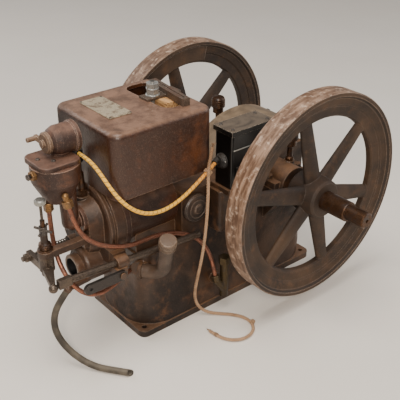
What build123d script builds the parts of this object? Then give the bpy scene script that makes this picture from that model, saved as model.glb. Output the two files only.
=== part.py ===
"""A small hopper-cooled hit-and-miss engine with two flywheels, in millimetres.

The frame: +X runs along the cylinder towards the crank, +Y away from the push rod side, +Z up.
The origin is the centre of the base's underside.
"""

from build123d import *
from math import cos, pi, radians, sin, sqrt, tan
import os

# Clearances
RUN = 0.06        # radial running fit of a journal or a pin
GAP = 0.3         # between pieces that lie on each other
FIT = 0.05        # radial gap of a piece pressed on a shaft
BEYOND = 300.0    # how far a cutting shape reaches past the metal

# Crankshaft and flywheels
CRANK_X = 115.0
CRANK_Z = 258.0
SHAFT_R = 16.0
COLLAR_R = 20.5
STUB_Y = -344.0
COLLAR_Y = -300.0
FAR_SHAFT_Y = 262.0
WHEEL_R = 222.0
RIM_WIDTH = 46.0
RIM_IN_Y = 183.0
RIM_EDGE = 9.0
RIM_INNER_R = 169.0
WEB_HALF = 9.0
HUB_R = 40.0
HUB_IN_Y = 165.0
HUB_OUT_Y = 238.0
SPOKES = 6
SPOKE_ANGLE = 104.0
SPOKE_HUB_WIDTH = 42.0
SPOKE_RIM_WIDTH = 30.0
SPOKE_THICK = 18.0
WEIGHT_FROM = 78.0
WEIGHT_TO = 158.0

# Base casting
BASE_LENGTH = 490.0
BASE_WIDTH = 194.0
FOOT_THICK = 14.0
FOOT_CORNER = 16.0
TOE_CORNER = 70.0
WALL_LOW_CORNER = 34.0
WALL_TOP_CORNER = 24.0
FLARE_IN = 3.0
FLARE_Z = 48.0
WALL_FOOT_IN = 12.0
WALL_TOP_Y = 75.0
WALL_TOP_Z = 176.0
WALL_TOP_IN = 20.0
BOLT_HOLE_R = 5.5
BOLT_X = BASE_LENGTH / 2 - 16
BOLT_Y = BASE_WIDTH / 2 - 17
BASE_END_X = -BASE_LENGTH / 2
CASE_X0 = -125.0
CASE_X1 = BASE_LENGTH / 2 - 9
CASE_DECK_Z = 286.0
CRADLE_X0 = -222.0
CRADLE_Y = 52.0
BEARING_R = 38.0
BEARING_OUT_Y = 156.0
CUP_X = 133.0
CUP_SEAT_Z = 297.0

# Crank guard
GUARD_X = 133.0
GUARD_Z = 201.0
GUARD_R = 162.0
GUARD_SHEET = 2.5
GUARD_HALF_Y = 57.0

# Hopper and cylinder
HOPPER_X0 = -292.0
HOPPER_X1 = -67.0
HOPPER_Y = 103.0
HOPPER_TOP = 465.0
HOPPER_SIDE_Z = 336.0
HOPPER_WALL = 8.0
HOPPER_CORNER = 22.0
HOPPER_EDGE = 11.0
FILLER_X = -115.0
FILLER_Y = 12.0
FILLER_LENGTH = 144.0
FILLER_WIDTH = 62.0
FILLER_CORNER = 22.0
BARREL_R = 64.0
JOINT_X = -258.0

# Cylinder head
HEAD_R = 80.0
HEAD_DRUM = 36.0
JOINT_RING = 12.0
HEAD_FRONT_X = -322.0
NOSE_WIDTH = 96.0
NOSE_HEIGHT = 102.0
EXHAUST_Y = -20.0
EXHAUST_Z = 180.5
EXHAUST_R = 36.0
EXHAUST_LIP_R = 26.0
EXHAUST_BORE_R = 19.0
EXHAUST_SHOULDER_X = -336.0
EXHAUST_END_X = -349.5
EXHAUST_BORE_X = -312.0

# Rocker gear
PIVOT_X = -410.0
PIVOT_Y = -40.0
PIVOT_R = 6.0
ROCKER_Z = 222.0
ROCKER_THICK = 16.0
BRACKET_Z = 243.0
BRACKET_THICK = 13.0
BALL_X = -434.0
BALL_Y = -103.0
BALL_R = 8.5
VALVE_Y = 6.0
VALVE_R = 5.0
VALVE_GUIDE_LONG = 16.0
SPRING_END_X = -393.0
SPRING_R = 8.6
SPRING_WIRE = 1.5
SPRING_TURNS = 8
ROD_Y = -103.0
ROD_R = 6.5
ROD_X0 = -425.0
ROD_Z0 = 222.0
ROD_X1 = -104.0
ROD_Z1 = 200.0
GUIDE_X = -292.0
LATCH_X0 = -382.0
LATCH_PIN_X = -302.0
LATCH_Z = 197.0
LATCH_Y = -124.5

# Clamp across the filler opening
CLAMP_X = -101.0
CLAMP_Y = -8.0
CLAMP_TURN = 6.0
BOLT_CX = -130.0
BOLT_CY = 5.0
CLAMP_BOLT_R = 5.0
STRAP_THICK = 4.5

# Plate on the hopper's top
PLATE_X = (-254.0, -204.0)
PLATE_Y = (-34.0, 70.0)
PLATE_UP = 1.6

# Push rod's guide and the drain
GUIDE_IN_Y = -78.0
GUIDE_PAD_Z = 196.0
DRAIN_ROOT = (-330.0, -46.0, 162.0)
DRAIN_LENGTH = 6.0

# Magneto
MAG_X0 = -44.0
MAG_X1 = 62.0
MAG_Y0 = -130.0
MAG_Y1 = -79.0
MAG_Z0 = 290.0
SHELF_X1 = 56.0
SHELF_POST_X0 = -56.0
SHELF_POST_LONG = 32.0
SHELF_POST_Y = -112.0
SHELF_POST_Z0 = 188.0
MAG_TOP = 412.0
TERMINAL_Y = -104.0
TERMINAL_Z = 346.0

# Side cover
SIDE_COVER_X = -92.0
SIDE_COVER_Z = 246.0
SIDE_COVER_R = 31.0
SIDE_COVER_DEEP = 16.0

# Mixer
BOWL_X = -365.0
BOWL_Y = -22.0
BOWL_BOTTOM_Z = 336.0
BOWL_RIM_Z = 411.0
BOWL_SHOULDER_Z = 378.0
BOWL_RIM_R = 45.0
BOWL_FOOT_R = 23.0
LID_X = -367.0
LID_Y = -19.0
LID_WIDTH = 79.0
LID_CORNER = 16.0
LID_THICK = 9.0
AIR_BARREL_R = 27.0
AIR_BARREL_X0 = -370.0
AIR_BARREL_X1 = -318.0
AIR_BARREL_Y = -14.0
AIR_BARREL_Z = 447.0
PLUG_X = -304.0
PLUG_SEAT_Z = 316.0
PLUG_TALL = 84.0
PLUG_SPACE_R = 15.0
AIR_BARREL_FOOT_X = -348.0
AIR_BARREL_FOOT_R = 17.0
NECK_Z = 282.0
NECK_R = 16.5
NECK_SIDE_R = 18.0
NECK_SIDE_Z = 350.0
CHOKE_R = 20.0

# Needle valve and fuel cock on one upright stem
STEM_R = 2.6
GUIDE_TUBE_R = 4.5
NEEDLE_NUT_Z = 350.0
COCK_Z = 298.0
STEM_SOCKET_Z = 270.0
TUBE_TOP_Z = 318.0

# Fuel piping
TUBE_R = 4.5
PUMP_X = -45.0
PUMP_Y = -BASE_WIDTH / 2 - 19
PUMP_Z0 = 30.0
PUMP_TOP_Z = 116.0
PUMP_R = 9.0
PUMP_NUT = 22.0
PUMP_FOOT_Z = 60.0
PUMP_PAD_Y = -BASE_WIDTH / 2 + 7
PUMP_PAD_R = 14.0
PIPE_R = 14.0
PIPE_START = (BASE_END_X + 19, -70.0, 149.0)
PIPE_ELBOW = (BASE_END_X + 46, -108.0, 147.0)
PIPE_TOP = (BASE_END_X + 34.5, -141.1, 239.1)
PIPE_BEND = 34.0
PIPE_BOSS = 5.0
PIPE_LUG = (28.0, 20.0, 0.0)
CAP_R = 17.2

# Cords
LEAD_R = 3.8
HOSE_R = 6.5
ROPE_R = 3.6

# Routes of the lines and cords
LINE_1 = [(-368.5, -65.4, 340.7), (-365.8, -68.6, 322.5), (-361.8, -72.3, 304.3), (-354.9, -76.2, 286.5),
          (-343.6, -80.3, 270.3), (-328.4, -85.2, 257.2), (-308.4, -89.1, 246.3), (-285.1, -91.3, 237.1),
          (-259.9, -91.2, 230.1), (-232.4, -88.3, 226.6), (-202.9, -84.4, 224.1), (-172.5, -82.8, 218),
          (-142.3, -83.5, 208), (-114, -86.9, 194.1), (-91.8, -93.1, 173.9), (-77.8, -100.9, 149.2),
          (-71.9, -108.6, 121), (-70, PUMP_Y, 91.2)]
LINE_2 = [(-384.5, -19.8, 320.3), (-382.9, -17.5, 295.7), (-382, -16.8, 272.1), (-382.1, -19.5, 250),
          (-383, -27.5, 229.7), (-383.3, -40.2, 210.7), (-380.8, -54, 192.1), (-373.3, -65.7, 173.5),
          (-359.8, -72.8, 156.6), (-340.5, -74.9, 143.5), (-316.7, -71.8, 136.2), (-290.4, -64.5, 134.2),
          (-263, -55.7, 136.2), (-236.2, -47.9, 139.8)]
LINE_2 = [(x + (BASE_END_X + 245) * min(1, max(0, k - 6) / 4), y, z) for k, (x, y, z) in enumerate(LINE_2)]
LEAD = [(-311, -14, 408.3), (-309.1, -32.5, 406.5), (-307.5, -51, 401.8), (-306.8, -67.6, 394.9),
        (-305.9, -81.4, 386.1), (-303.5, -92.6, 375.2), (-298.6, -101.4, 362.1), (-289.8, -108.5, 346.1),
        (-276.1, -114, 328.8), (-257.6, -117.4, 312.9), (-235.3, -118.8, 301.9), (-210.6, -118.8, 297),
        (-184.9, -118.1, 298.4), (-159.7, -117, 304.8), (-136, -115.6, 314.6), (-114.1, -113.9, 325.7),
        (-94.5, -111.9, 335.7), (-78.7, -108.8, 341.9), (-65.3, -104, 346)]
HOSE = [(-383.8, -56.4, 162.1), (-396.4, -50.6, 142), (-406.5, -46.8, 121.8), (-412.2, -46.7, 101.5),
        (-413.4, -50.9, 81.1), (-409.1, -58.2, 60.5), (-401.2, -69.4, 41.5), (-390.6, -83.7, 25.5),
        (-378.4, -100, 13.8), (-365.7, -117.3, 7.7), (-352.9, -134.8, 7.2), (-340, -151.9, 7.2),
        (-326.9, -168.6, 7.2)]
ROPE = [(-84.5, -119.6, 392), (-94, -119, 355.3), (-94.4, -119.6, 324.7), (-95.3, -120.4, 291.8),
        (-97.5, -121.1, 256.7), (-100.9, -121.3, 220.2), (-104.6, -120.4, 184.3),
        (-108.2, -117.5, 149.5), (-111.7, -112.6, 115.2),
        (-114.7, -106.8, 82.1), (-115.1, -102.7, 51.2), (-109.1, -104.9, 24.9), (-93.7, -117, 7.1),
        (-73, -135.4, 4.5), (-52.6, -156.3, 4.5), (-40, -179.2, 4.5), (-40.2, -202.6, 4.5),
        (-53.2, -221.5, 4.5), (-74.9, -230.6, 4.5), (-97.8, -226.9, 4.5), (-115.6, -211.7, 4.5),
        (-124.3, -189.6, 4.5), (-126, -165.2, 4.5)]


def rod(start, end, radius):
    """A round bar from one point to another."""
    a, b = Vector(*start), Vector(*end)
    place = Plane(origin=a, z_dir=(b - a).normalized())
    return place * Cylinder(radius, (b - a).length, align=(Align.CENTER, Align.CENTER, Align.MIN))


def tube(start, end, outer, inner):
    """A round pipe from one point to another."""
    a, b = Vector(*start), Vector(*end)
    reach = (b - a).normalized()
    hole = rod(tuple(a - reach), tuple(b + reach), inner)
    return rod(start, end, outer) - hole


def hexagon(start, end, across):
    """A hexagonal bar from one point to another."""
    a, b = Vector(*start), Vector(*end)
    place = Plane(origin=a, z_dir=(b - a).normalized())
    return extrude(place * RegularPolygon(across / 2, 6, major_radius=False), (b - a).length)


def block(x, y, z):
    """A box given by its limits along each axis."""
    size = (x[1] - x[0], y[1] - y[0], z[1] - z[0])
    return Pos((x[0] + x[1]) / 2, (y[0] + y[1]) / 2, (z[0] + z[1]) / 2) * Box(*size)


def turned(profile, place):
    """A turned piece: (radius, height) points spun about the local Z axis of a plane."""
    face = make_face(Polyline([(r, 0, h) for r, h in profile], close=True))
    return place * revolve(face, Axis.Z)


def profile_xz(points, y, thick):
    """A plate cut to an outline in XZ, from y towards +Y."""
    face = make_face(Polyline([(px, y, pz) for px, pz in points], close=True))
    return extrude(face, thick, dir=(0, 1, 0))


def arc_radii(points, limit=None):
    """The radius of each corner's arc: 0.45 of its shorter run over the tangent of half the turn."""
    found = []
    for a, b, c in zip(points, points[1:], points[2:]):
        first = Vector(*b) - Vector(*a)
        second = Vector(*c) - Vector(*b)
        half = radians(first.get_angle(second)) / 2
        found.append(0.45 * min(first.length, second.length) / tan(half))
    return [min(r, limit) for r in found] if limit else found


def bent(points, radius, limit=None):
    """A round section carried along straight runs joined by tangent arcs."""
    radii = arc_radii(points, limit)
    path = FilletPolyline(*[Vector(*p) for p in points], radius=radii)
    start = Plane(origin=path @ 0, z_dir=path % 0)
    body = sweep(start * Circle(radius), path)
    share = body.volume / (pi * radius**2 * path.length)
    return body, path.length, radii, share


def wall_y(z):
    """Half the base's width at a height on its sloping wall."""
    foot = BASE_WIDTH / 2 - WALL_FOOT_IN
    return foot + (WALL_TOP_Y - foot) * (z - FLARE_Z) / (WALL_TOP_Z - FLARE_Z)


def filler_path():
    """The filler pipe's centre line: out of the base's corner, then up and outwards."""
    return FilletPolyline(Vector(*PIPE_START), Vector(*PIPE_ELBOW), Vector(*PIPE_TOP), radius=PIPE_BEND)


def engine_base():
    """The skirted base, the crankcase and the lower halves of both bearings, in one casting."""
    foot = extrude(RectangleRounded(BASE_LENGTH, BASE_WIDTH, FOOT_CORNER), FOOT_THICK)
    toe = RectangleRounded(BASE_LENGTH - 2 * FLARE_IN, BASE_WIDTH - 2 * FLARE_IN, TOE_CORNER)
    low = RectangleRounded(BASE_LENGTH - 2 * WALL_FOOT_IN, BASE_WIDTH - 2 * WALL_FOOT_IN, WALL_LOW_CORNER)
    high = RectangleRounded(BASE_LENGTH - 2 * WALL_TOP_IN, 2 * WALL_TOP_Y, WALL_TOP_CORNER)
    flare = loft([Pos(0, 0, FOOT_THICK) * toe, Pos(0, 0, FLARE_Z) * low])
    wall = loft([Pos(0, 0, FLARE_Z) * low, Pos(0, 0, WALL_TOP_Z) * high])
    inside_r = GUARD_R - GUARD_SHEET - GAP
    deck_x = GUARD_X - sqrt(inside_r**2 - (CASE_DECK_Z - GUARD_Z) ** 2)
    end_x = CASE_X1 - WALL_TOP_IN
    end_z = GUARD_Z + sqrt(inside_r**2 - (end_x - GUARD_X) ** 2)
    low_z = WALL_TOP_Z - 2
    case_face = make_face(Wire([
        Line((CASE_X0, 0, low_z), (CASE_X0, 0, CASE_DECK_Z)),
        Line((CASE_X0, 0, CASE_DECK_Z), (deck_x, 0, CASE_DECK_Z)),
        ThreePointArc((deck_x, 0, CASE_DECK_Z), (GUARD_X, 0, GUARD_Z + inside_r), (end_x, 0, end_z)),
        Line((end_x, 0, end_z), (end_x, 0, low_z)),
        Line((end_x, 0, low_z), (CASE_X0, 0, low_z)),
    ]))
    body = foot + flare + wall + extrude(case_face, WALL_TOP_Y, dir=(0, 1, 0), both=True)
    body += block((CRADLE_X0, CASE_X0), (-CRADLE_Y, CRADLE_Y), (low_z, CRANK_Z - 34))
    for side in (-1, 1):
        wall, end = side * WALL_TOP_Y, side * BEARING_OUT_Y
        body += rod((CRANK_X, wall, CRANK_Z), (CRANK_X, end, CRANK_Z), BEARING_R)
        gusset = make_face(Polyline([
            (CRANK_X - 14, side * (WALL_TOP_Y - 2), WALL_TOP_Z - 30),
            (CRANK_X - 14, side * (BEARING_OUT_Y - 14), CRANK_Z - 20),
            (CRANK_X - 14, side * (WALL_TOP_Y - 2), CRANK_Z - 20)], close=True))
        body += extrude(gusset, 28, dir=(1, 0, 0))
        body += block((CRANK_X - BEARING_R - 14, CRANK_X + BEARING_R + 14),
                      sorted((side * WALL_TOP_Y, side * (BEARING_OUT_Y - 10))), (CRANK_Z - 16, CRANK_Z))
    ledge_y = GUARD_HALF_Y + GAP
    cap_space = block((CRANK_X - 60, CRANK_X + 60), (-BEARING_OUT_Y - 1, -WALL_TOP_Y),
                      (CRANK_Z, CRANK_Z + 60))
    above = block((CASE_X0 - 1, CASE_X1 + 1), (-WALL_TOP_Y - 1, -ledge_y), (CASE_DECK_Z + 18, 420))
    for cut in (cap_space, above):
        body -= cut
        body -= mirror(cut, Plane.XZ)
    past = BEARING_OUT_Y + 1
    body -= rod((CRANK_X, -past, CRANK_Z), (CRANK_X, past, CRANK_Z), SHAFT_R + RUN)
    body -= rod((CASE_X0 - 150, 0, CRANK_Z), (CASE_X0, 0, CRANK_Z), BARREL_R + GAP)
    for sx in (-1, 1):
        for sy in (-1, 1):
            body -= Pos(sx * BOLT_X, sy * BOLT_Y, FOOT_THICK / 2) * Cylinder(BOLT_HOLE_R, FOOT_THICK * 2)
    start, path = Vector(*PIPE_START), filler_path()
    reach = path % 0
    body += rod(tuple(start - reach * 2), tuple(start + reach * PIPE_BOSS), PIPE_R + 4)
    body += rod(tuple(start - reach * 2), tuple(start - reach * 2 + Vector(*PIPE_LUG)), PIPE_R + 4)
    body -= sweep(Plane(origin=path @ 0, z_dir=reach) * Circle(PIPE_R + GAP), path)
    end, before = Vector(*LINE_2[-1]), Vector(*LINE_2[-2])
    body += rod(tuple(end), tuple(end + (end - before).normalized() * 16), TUBE_R + 4)
    pad_root = (PUMP_X, -wall_y(PUMP_FOOT_Z) + 4, PUMP_FOOT_Z)
    return body + rod(pad_root, (PUMP_X, PUMP_PAD_Y, PUMP_FOOT_Z), PUMP_PAD_R)


def bearing_cap(side):
    """The upper half of one main bearing with its two cap screws."""
    inner, outer = WALL_TOP_Y + 2, BEARING_OUT_Y - 4
    ring = rod((CRANK_X, side * inner, CRANK_Z), (CRANK_X, side * outer, CRANK_Z), BEARING_R)
    ears = block((CRANK_X - BEARING_R - 13, CRANK_X + BEARING_R + 13),
                 sorted((side * (inner + 8), side * (outer - 8))), (CRANK_Z, CRANK_Z + 15))
    cap = ring + ears
    cap -= rod((CRANK_X, side * (inner - 1), CRANK_Z), (CRANK_X, side * (outer + 1), CRANK_Z), SHAFT_R + RUN)
    cap -= block((CRANK_X - 80, CRANK_X + 80), (-200, 200), (CRANK_Z - 80, CRANK_Z + GAP))
    middle = side * (inner + outer) / 2
    cap += rod((CUP_X, middle, CRANK_Z + SHAFT_R + 6), (CUP_X, middle, CUP_SEAT_Z), 11)
    for sx in (-1, 1):
        x = CRANK_X + sx * (BEARING_R + 4)
        cap += hexagon((x, middle, CRANK_Z + 14), (x, middle, CRANK_Z + 24), 17)
    return cap


def grease_cup(side):
    """A screw-down grease cup standing on the bearing cap."""
    place = Plane(origin=(CUP_X, side * (WALL_TOP_Y + BEARING_OUT_Y) / 2, CUP_SEAT_Z + GAP))
    return turned([(0, 0), (9, 0), (9, 6), (6, 8), (6, 30), (12, 34), (12, 46), (15, 47), (15, 66),
                   (13, 70), (0, 72)], place)


def crank_guard():
    """A sheet bent to an arc over the crank, resting on the crankcase's edges."""
    reach = GUARD_R + 10
    ring = rod((GUARD_X, -GUARD_HALF_Y, GUARD_Z), (GUARD_X, GUARD_HALF_Y, GUARD_Z), GUARD_R)
    ring -= rod((GUARD_X, -reach, GUARD_Z), (GUARD_X, reach, GUARD_Z), GUARD_R - GUARD_SHEET)
    keep = block((-2, CASE_X1), (-reach, reach), (CASE_DECK_Z + GAP, GUARD_Z + reach))
    return ring & keep


def water_hopper():
    """The cooling hopper and the cylinder barrel below it, one hollow casting."""
    length = HOPPER_X1 - HOPPER_X0
    middle = (HOPPER_X0 + HOPPER_X1) / 2
    outline = Pos(middle, 0, HOPPER_SIDE_Z) * RectangleRounded(length, 2 * HOPPER_Y, HOPPER_CORNER)
    upper = extrude(outline, HOPPER_TOP - HOPPER_SIDE_Z)
    upper = fillet(upper.faces().sort_by(Axis.Z)[-1].edges(), HOPPER_EDGE)
    neck_mid = (JOINT_X + HOPPER_X1) / 2
    neck_long = HOPPER_X1 - JOINT_X
    neck = loft([
        Pos(neck_mid - 10, 0, CRANK_Z + 44) * RectangleRounded(neck_long - 30, 2 * BARREL_R - 30, 16),
        Pos(neck_mid, 0, HOPPER_SIDE_Z) * RectangleRounded(neck_long, 2 * HOPPER_Y, HOPPER_CORNER)])
    neck -= block((JOINT_X - 40, JOINT_X), (-HOPPER_Y, HOPPER_Y), (0, HOPPER_SIDE_Z - 1))
    barrel = rod((JOINT_X, 0, CRANK_Z), (CASE_X0 - GAP, 0, CRANK_Z), BARREL_R)
    barrel += rod((JOINT_X, 0, CRANK_Z), (JOINT_X + JOINT_RING, 0, CRANK_Z), HEAD_R - 2)
    body = upper + neck + barrel
    hollow = Pos(middle, 0, HOPPER_SIDE_Z) * RectangleRounded(
        length - 2 * HOPPER_WALL, 2 * (HOPPER_Y - HOPPER_WALL), HOPPER_CORNER - HOPPER_WALL)
    body -= extrude(hollow, HOPPER_TOP - HOPPER_WALL - HOPPER_SIDE_Z)
    mouth = RectangleRounded(FILLER_WIDTH, FILLER_LENGTH, FILLER_CORNER)
    return body - extrude(Pos(FILLER_X, FILLER_Y, HOPPER_TOP - 30) * mouth, 60)


def cylinder_head():
    """The head: a ringed round flange on the cylinder, a jacket in front and the exhaust outlet below."""
    seat = Plane(origin=(JOINT_X - GAP, 0, CRANK_Z), z_dir=(-1, 0, 0))
    drum = turned([(0, 0), (HEAD_R - 1, 0), (HEAD_R, 1), (HEAD_R, HEAD_DRUM - 14),
                   (HEAD_R - 4, HEAD_DRUM - 12), (HEAD_R - 4, HEAD_DRUM - 8), (HEAD_R - 1, HEAD_DRUM - 7),
                   (HEAD_R - 1, HEAD_DRUM - 3), (HEAD_R - 5, HEAD_DRUM), (0, HEAD_DRUM)], seat)
    drum -= block((HEAD_FRONT_X, JOINT_X), (-HEAD_R, HEAD_R), (HOPPER_SIDE_Z - GAP, HOPPER_SIDE_Z + 20))
    front = Plane(origin=(JOINT_X - HEAD_DRUM + 4, 0, CRANK_Z - 2), x_dir=(0, -1, 0), z_dir=(-1, 0, 0))
    nose = Plane(origin=(HEAD_FRONT_X, 0, CRANK_Z - 2), x_dir=(0, -1, 0), z_dir=(-1, 0, 0))
    jacket = loft([front * RectangleRounded(NOSE_WIDTH + 18, NOSE_HEIGHT + 18, 40),
                   nose * RectangleRounded(NOSE_WIDTH, NOSE_HEIGHT, 30)])
    outlet = Plane(origin=(JOINT_X - 4, EXHAUST_Y, EXHAUST_Z), z_dir=(-1, 0, 0))
    shoulder, end = JOINT_X - 4 - EXHAUST_SHOULDER_X, JOINT_X - 4 - EXHAUST_END_X
    body = drum + jacket + turned([
        (0, 0), (EXHAUST_R - 3, 0), (EXHAUST_R, 3), (EXHAUST_R, shoulder - 7), (EXHAUST_R - 2, shoulder - 3),
        (EXHAUST_R - 6, shoulder), (EXHAUST_LIP_R, shoulder), (EXHAUST_LIP_R, end - 1.5),
        (EXHAUST_LIP_R - 1.5, end), (0, end)], outlet)
    guide = (HEAD_FRONT_X - VALVE_GUIDE_LONG, VALVE_Y, ROCKER_Z)
    body += rod((HEAD_FRONT_X + 20, VALVE_Y, ROCKER_Z), guide, 12)
    past = HEAD_FRONT_X - VALVE_GUIDE_LONG - 1
    body -= rod((HEAD_FRONT_X + 10, VALVE_Y, ROCKER_Z), (past, VALVE_Y, ROCKER_Z), VALVE_R + RUN)
    body += rod((PLUG_X, 0, PLUG_SEAT_Z - 20), (PLUG_X, 0, PLUG_SEAT_Z), PLUG_SPACE_R)
    body -= rod((PLUG_X, 0, PLUG_SEAT_Z), (PLUG_X, 0, PLUG_SEAT_Z + 40), PLUG_SPACE_R)
    body += block((GUIDE_X - 8, GUIDE_X + 20), (GUIDE_IN_Y, -40), (GUIDE_PAD_Z, GUIDE_PAD_Z + 30))
    drain, after = Vector(*HOSE[0]), Vector(*HOSE[1])
    nozzle = drain + (drain - after).normalized() * DRAIN_LENGTH
    body += rod(tuple(nozzle), tuple(drain), HOSE_R + 1) + rod(DRAIN_ROOT, tuple(nozzle), HOSE_R - 0.5)
    body += Pos(*nozzle) * Sphere(HOSE_R - 0.5)
    bore_end = (EXHAUST_END_X - 1, EXHAUST_Y, EXHAUST_Z)
    return body - rod((EXHAUST_BORE_X, EXHAUST_Y, EXHAUST_Z), bore_end, EXHAUST_BORE_R)


def flywheel(side):
    """One cast flywheel: rim, web, spokes, hub and the counterweight on its engine side."""
    mid = RIM_IN_Y + RIM_WIDTH / 2
    half = RIM_WIDTH / 2
    place = Plane(origin=(CRANK_X, side * mid, CRANK_Z), x_dir=(1, 0, 0), z_dir=(0, side, 0))
    rim = turned([
        (WHEEL_R - 1.5, -half), (WHEEL_R, -half + 3), (WHEEL_R, half - 3), (WHEEL_R - 1.5, half),
        (WHEEL_R - RIM_EDGE, half), (WHEEL_R - RIM_EDGE - 5, half - 6), (194, WEB_HALF + 5),
        (190, WEB_HALF + 2), (RIM_INNER_R + 3, WEB_HALF), (RIM_INNER_R, WEB_HALF - 3),
        (RIM_INNER_R, 3 - WEB_HALF), (RIM_INNER_R + 3, -WEB_HALF), (190, -WEB_HALF - 2),
        (194, -WEB_HALF - 5), (WHEEL_R - RIM_EDGE - 5, 6 - half), (WHEEL_R - RIM_EDGE, -half)], place)
    hub = turned([
        (SHAFT_R + FIT, HUB_IN_Y - mid), (HUB_R - 4, HUB_IN_Y - mid), (HUB_R, HUB_IN_Y - mid + 4),
        (HUB_R + 4, 0), (HUB_R, HUB_OUT_Y - mid - 4), (HUB_R - 4, HUB_OUT_Y - mid),
        (SHAFT_R + FIT, HUB_OUT_Y - mid)], place)
    wheel = rim + hub
    for i in range(SPOKES):
        a = radians(SPOKE_ANGLE + 360 / SPOKES * i)
        out = Vector(cos(a), 0, sin(a))
        centre = Vector(CRANK_X, side * mid, CRANK_Z)
        inner = Plane(origin=centre + out * (HUB_R - 6), x_dir=(0, 1, 0), z_dir=out)
        outer = Plane(origin=centre + out * (RIM_INNER_R + 4), x_dir=(0, 1, 0), z_dir=out)
        spoke = loft([inner * Ellipse(SPOKE_THICK / 2 + 2, SPOKE_HUB_WIDTH / 2),
                      outer * Ellipse(SPOKE_THICK / 2 - 1, SPOKE_RIM_WIDTH / 2)])
        wheel += spoke
    weight = turned([
        (RIM_INNER_R + 8, -half + 4), (WHEEL_R - RIM_EDGE, -half + 4), (WHEEL_R - RIM_EDGE, -WEB_HALF),
        (RIM_INNER_R + 8, -WEB_HALF + 2)], place)
    sector = [(CRANK_X, CRANK_Z)]
    for k in range(5):
        a = radians(WEIGHT_FROM + (WEIGHT_TO - WEIGHT_FROM) * k / 4)
        sector.append((CRANK_X + BEYOND * cos(a), CRANK_Z + BEYOND * sin(a)))
    return wheel + (weight & profile_xz(sector, -BEYOND, 2 * BEYOND))


def crankshaft():
    """The shaft through both bearings, with the crank collar and the turned end on the near side."""
    near = STUB_Y
    place = Plane(origin=(CRANK_X, 0, CRANK_Z), x_dir=(1, 0, 0), z_dir=(0, 1, 0))
    hub = -HUB_OUT_Y - GAP
    return turned([
        (0, near + 8), (3, near + 5), (4, near), (SHAFT_R - 2, near), (SHAFT_R, near + 2),
        (SHAFT_R, COLLAR_Y), (COLLAR_R - 1, COLLAR_Y), (COLLAR_R, COLLAR_Y + 2), (COLLAR_R, hub),
        (SHAFT_R, hub), (SHAFT_R, FAR_SHAFT_Y - 2), (SHAFT_R - 2, FAR_SHAFT_Y), (0, FAR_SHAFT_Y)], place)


def magneto_case():
    """The black magneto case standing on its bracket."""
    case = block((MAG_X0, MAG_X1), (MAG_Y0, MAG_Y1), (MAG_Z0, MAG_TOP - 2))
    case = fillet(case.edges().filter_by(Axis.Z), 5)
    case += block((MAG_X0 + 12, MAG_X1 - 12), (MAG_Y0 - 4, MAG_Y0 + 4), (MAG_Z0, MAG_Z0 + 46))
    return case


def magneto_cover():
    """The sheet cover folded over the magneto's top."""
    over = 2.5
    top = block((MAG_X0 - over, MAG_X1 + over), (MAG_Y0 - over, MAG_Y1 + over), (MAG_TOP - 8, MAG_TOP + 2))
    return top - block((MAG_X0 - GAP, MAG_X1 + GAP), (MAG_Y0 - GAP, MAG_Y1 + GAP),
                       (MAG_TOP - 9, MAG_TOP - 2 + GAP))


def magneto_terminal():
    """The moulded high-tension terminal on the magneto's end."""
    place = Plane(origin=(MAG_X0 - GAP, TERMINAL_Y, TERMINAL_Z), z_dir=(-1, 0, 0))
    end, before = Vector(*LEAD[-1]), Vector(*LEAD[-2])
    nose = rod(tuple(end), tuple(end + (end - before).normalized() * 12), 6.5)
    return turned([(0, 0), (15, 0), (15, 5), (12, 8), (12, 11), (8, 13), (0, 13)], place) + nose


def magneto_bracket():
    """The cast bracket that carries the magneto on the crankcase's side."""
    shelf = block((MAG_X0 - 6, SHELF_X1), (MAG_Y0, -WALL_TOP_Y - GAP), (MAG_Z0 - 12, MAG_Z0 - GAP))
    post = block((SHELF_POST_X0, SHELF_POST_X0 + SHELF_POST_LONG), (SHELF_POST_Y, -WALL_TOP_Y - GAP),
                 (SHELF_POST_Z0, MAG_Z0 - 10))
    return shelf + fillet(post.edges().filter_by(Axis.Z).group_by(Axis.Y)[0], 10)


def side_cover():
    """The round cover on the crankcase's side behind the hopper."""
    place = Plane(origin=(SIDE_COVER_X, -WALL_TOP_Y - GAP, SIDE_COVER_Z), x_dir=(1, 0, 0), z_dir=(0, -1, 0))
    return turned([(0, 0), (SIDE_COVER_R, 0), (SIDE_COVER_R, 7), (SIDE_COVER_R - 3, 10), (10, 12), (9, 15),
                   (0, SIDE_COVER_DEEP)], place)


def bowl_cone(more, low_more=0.0):
    """The bowl's outside, grown by a margin."""
    high, shoulder = BOWL_RIM_Z - BOWL_BOTTOM_Z, BOWL_SHOULDER_Z - BOWL_BOTTOM_Z
    place = Plane(origin=(BOWL_X, BOWL_Y, BOWL_BOTTOM_Z))
    return turned([(0, -low_more), (BOWL_FOOT_R - 3 + more, -low_more), (BOWL_FOOT_R + more, 2 - low_more),
                   (BOWL_RIM_R - 3 + more, shoulder - 4), (BOWL_RIM_R - 0.5 + more, shoulder + 2),
                   (BOWL_RIM_R + more, high), (0, high)], place)


def mixer_bowl():
    """The tapered mixer bowl with its neck and flange on the head's front."""
    face_x = HEAD_FRONT_X - GAP
    bend_x = face_x - 22
    side = (bend_x - 2, BOWL_Y, NECK_SIDE_Z)
    neck = rod((BOWL_X, BOWL_Y, NECK_SIDE_Z + 3), side, NECK_SIDE_R) + Pos(*side) * Sphere(NECK_SIDE_R)
    neck += rod(side, (bend_x, BOWL_Y, NECK_Z), NECK_R)
    neck += Pos(bend_x, BOWL_Y, NECK_Z) * Sphere(NECK_R)
    neck += rod((bend_x, BOWL_Y, NECK_Z), (face_x, BOWL_Y, NECK_Z), NECK_R)
    neck += rod((face_x - 8, BOWL_Y, NECK_Z), (face_x, BOWL_Y, NECK_Z), 26)
    return bowl_cone(0) + neck


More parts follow.
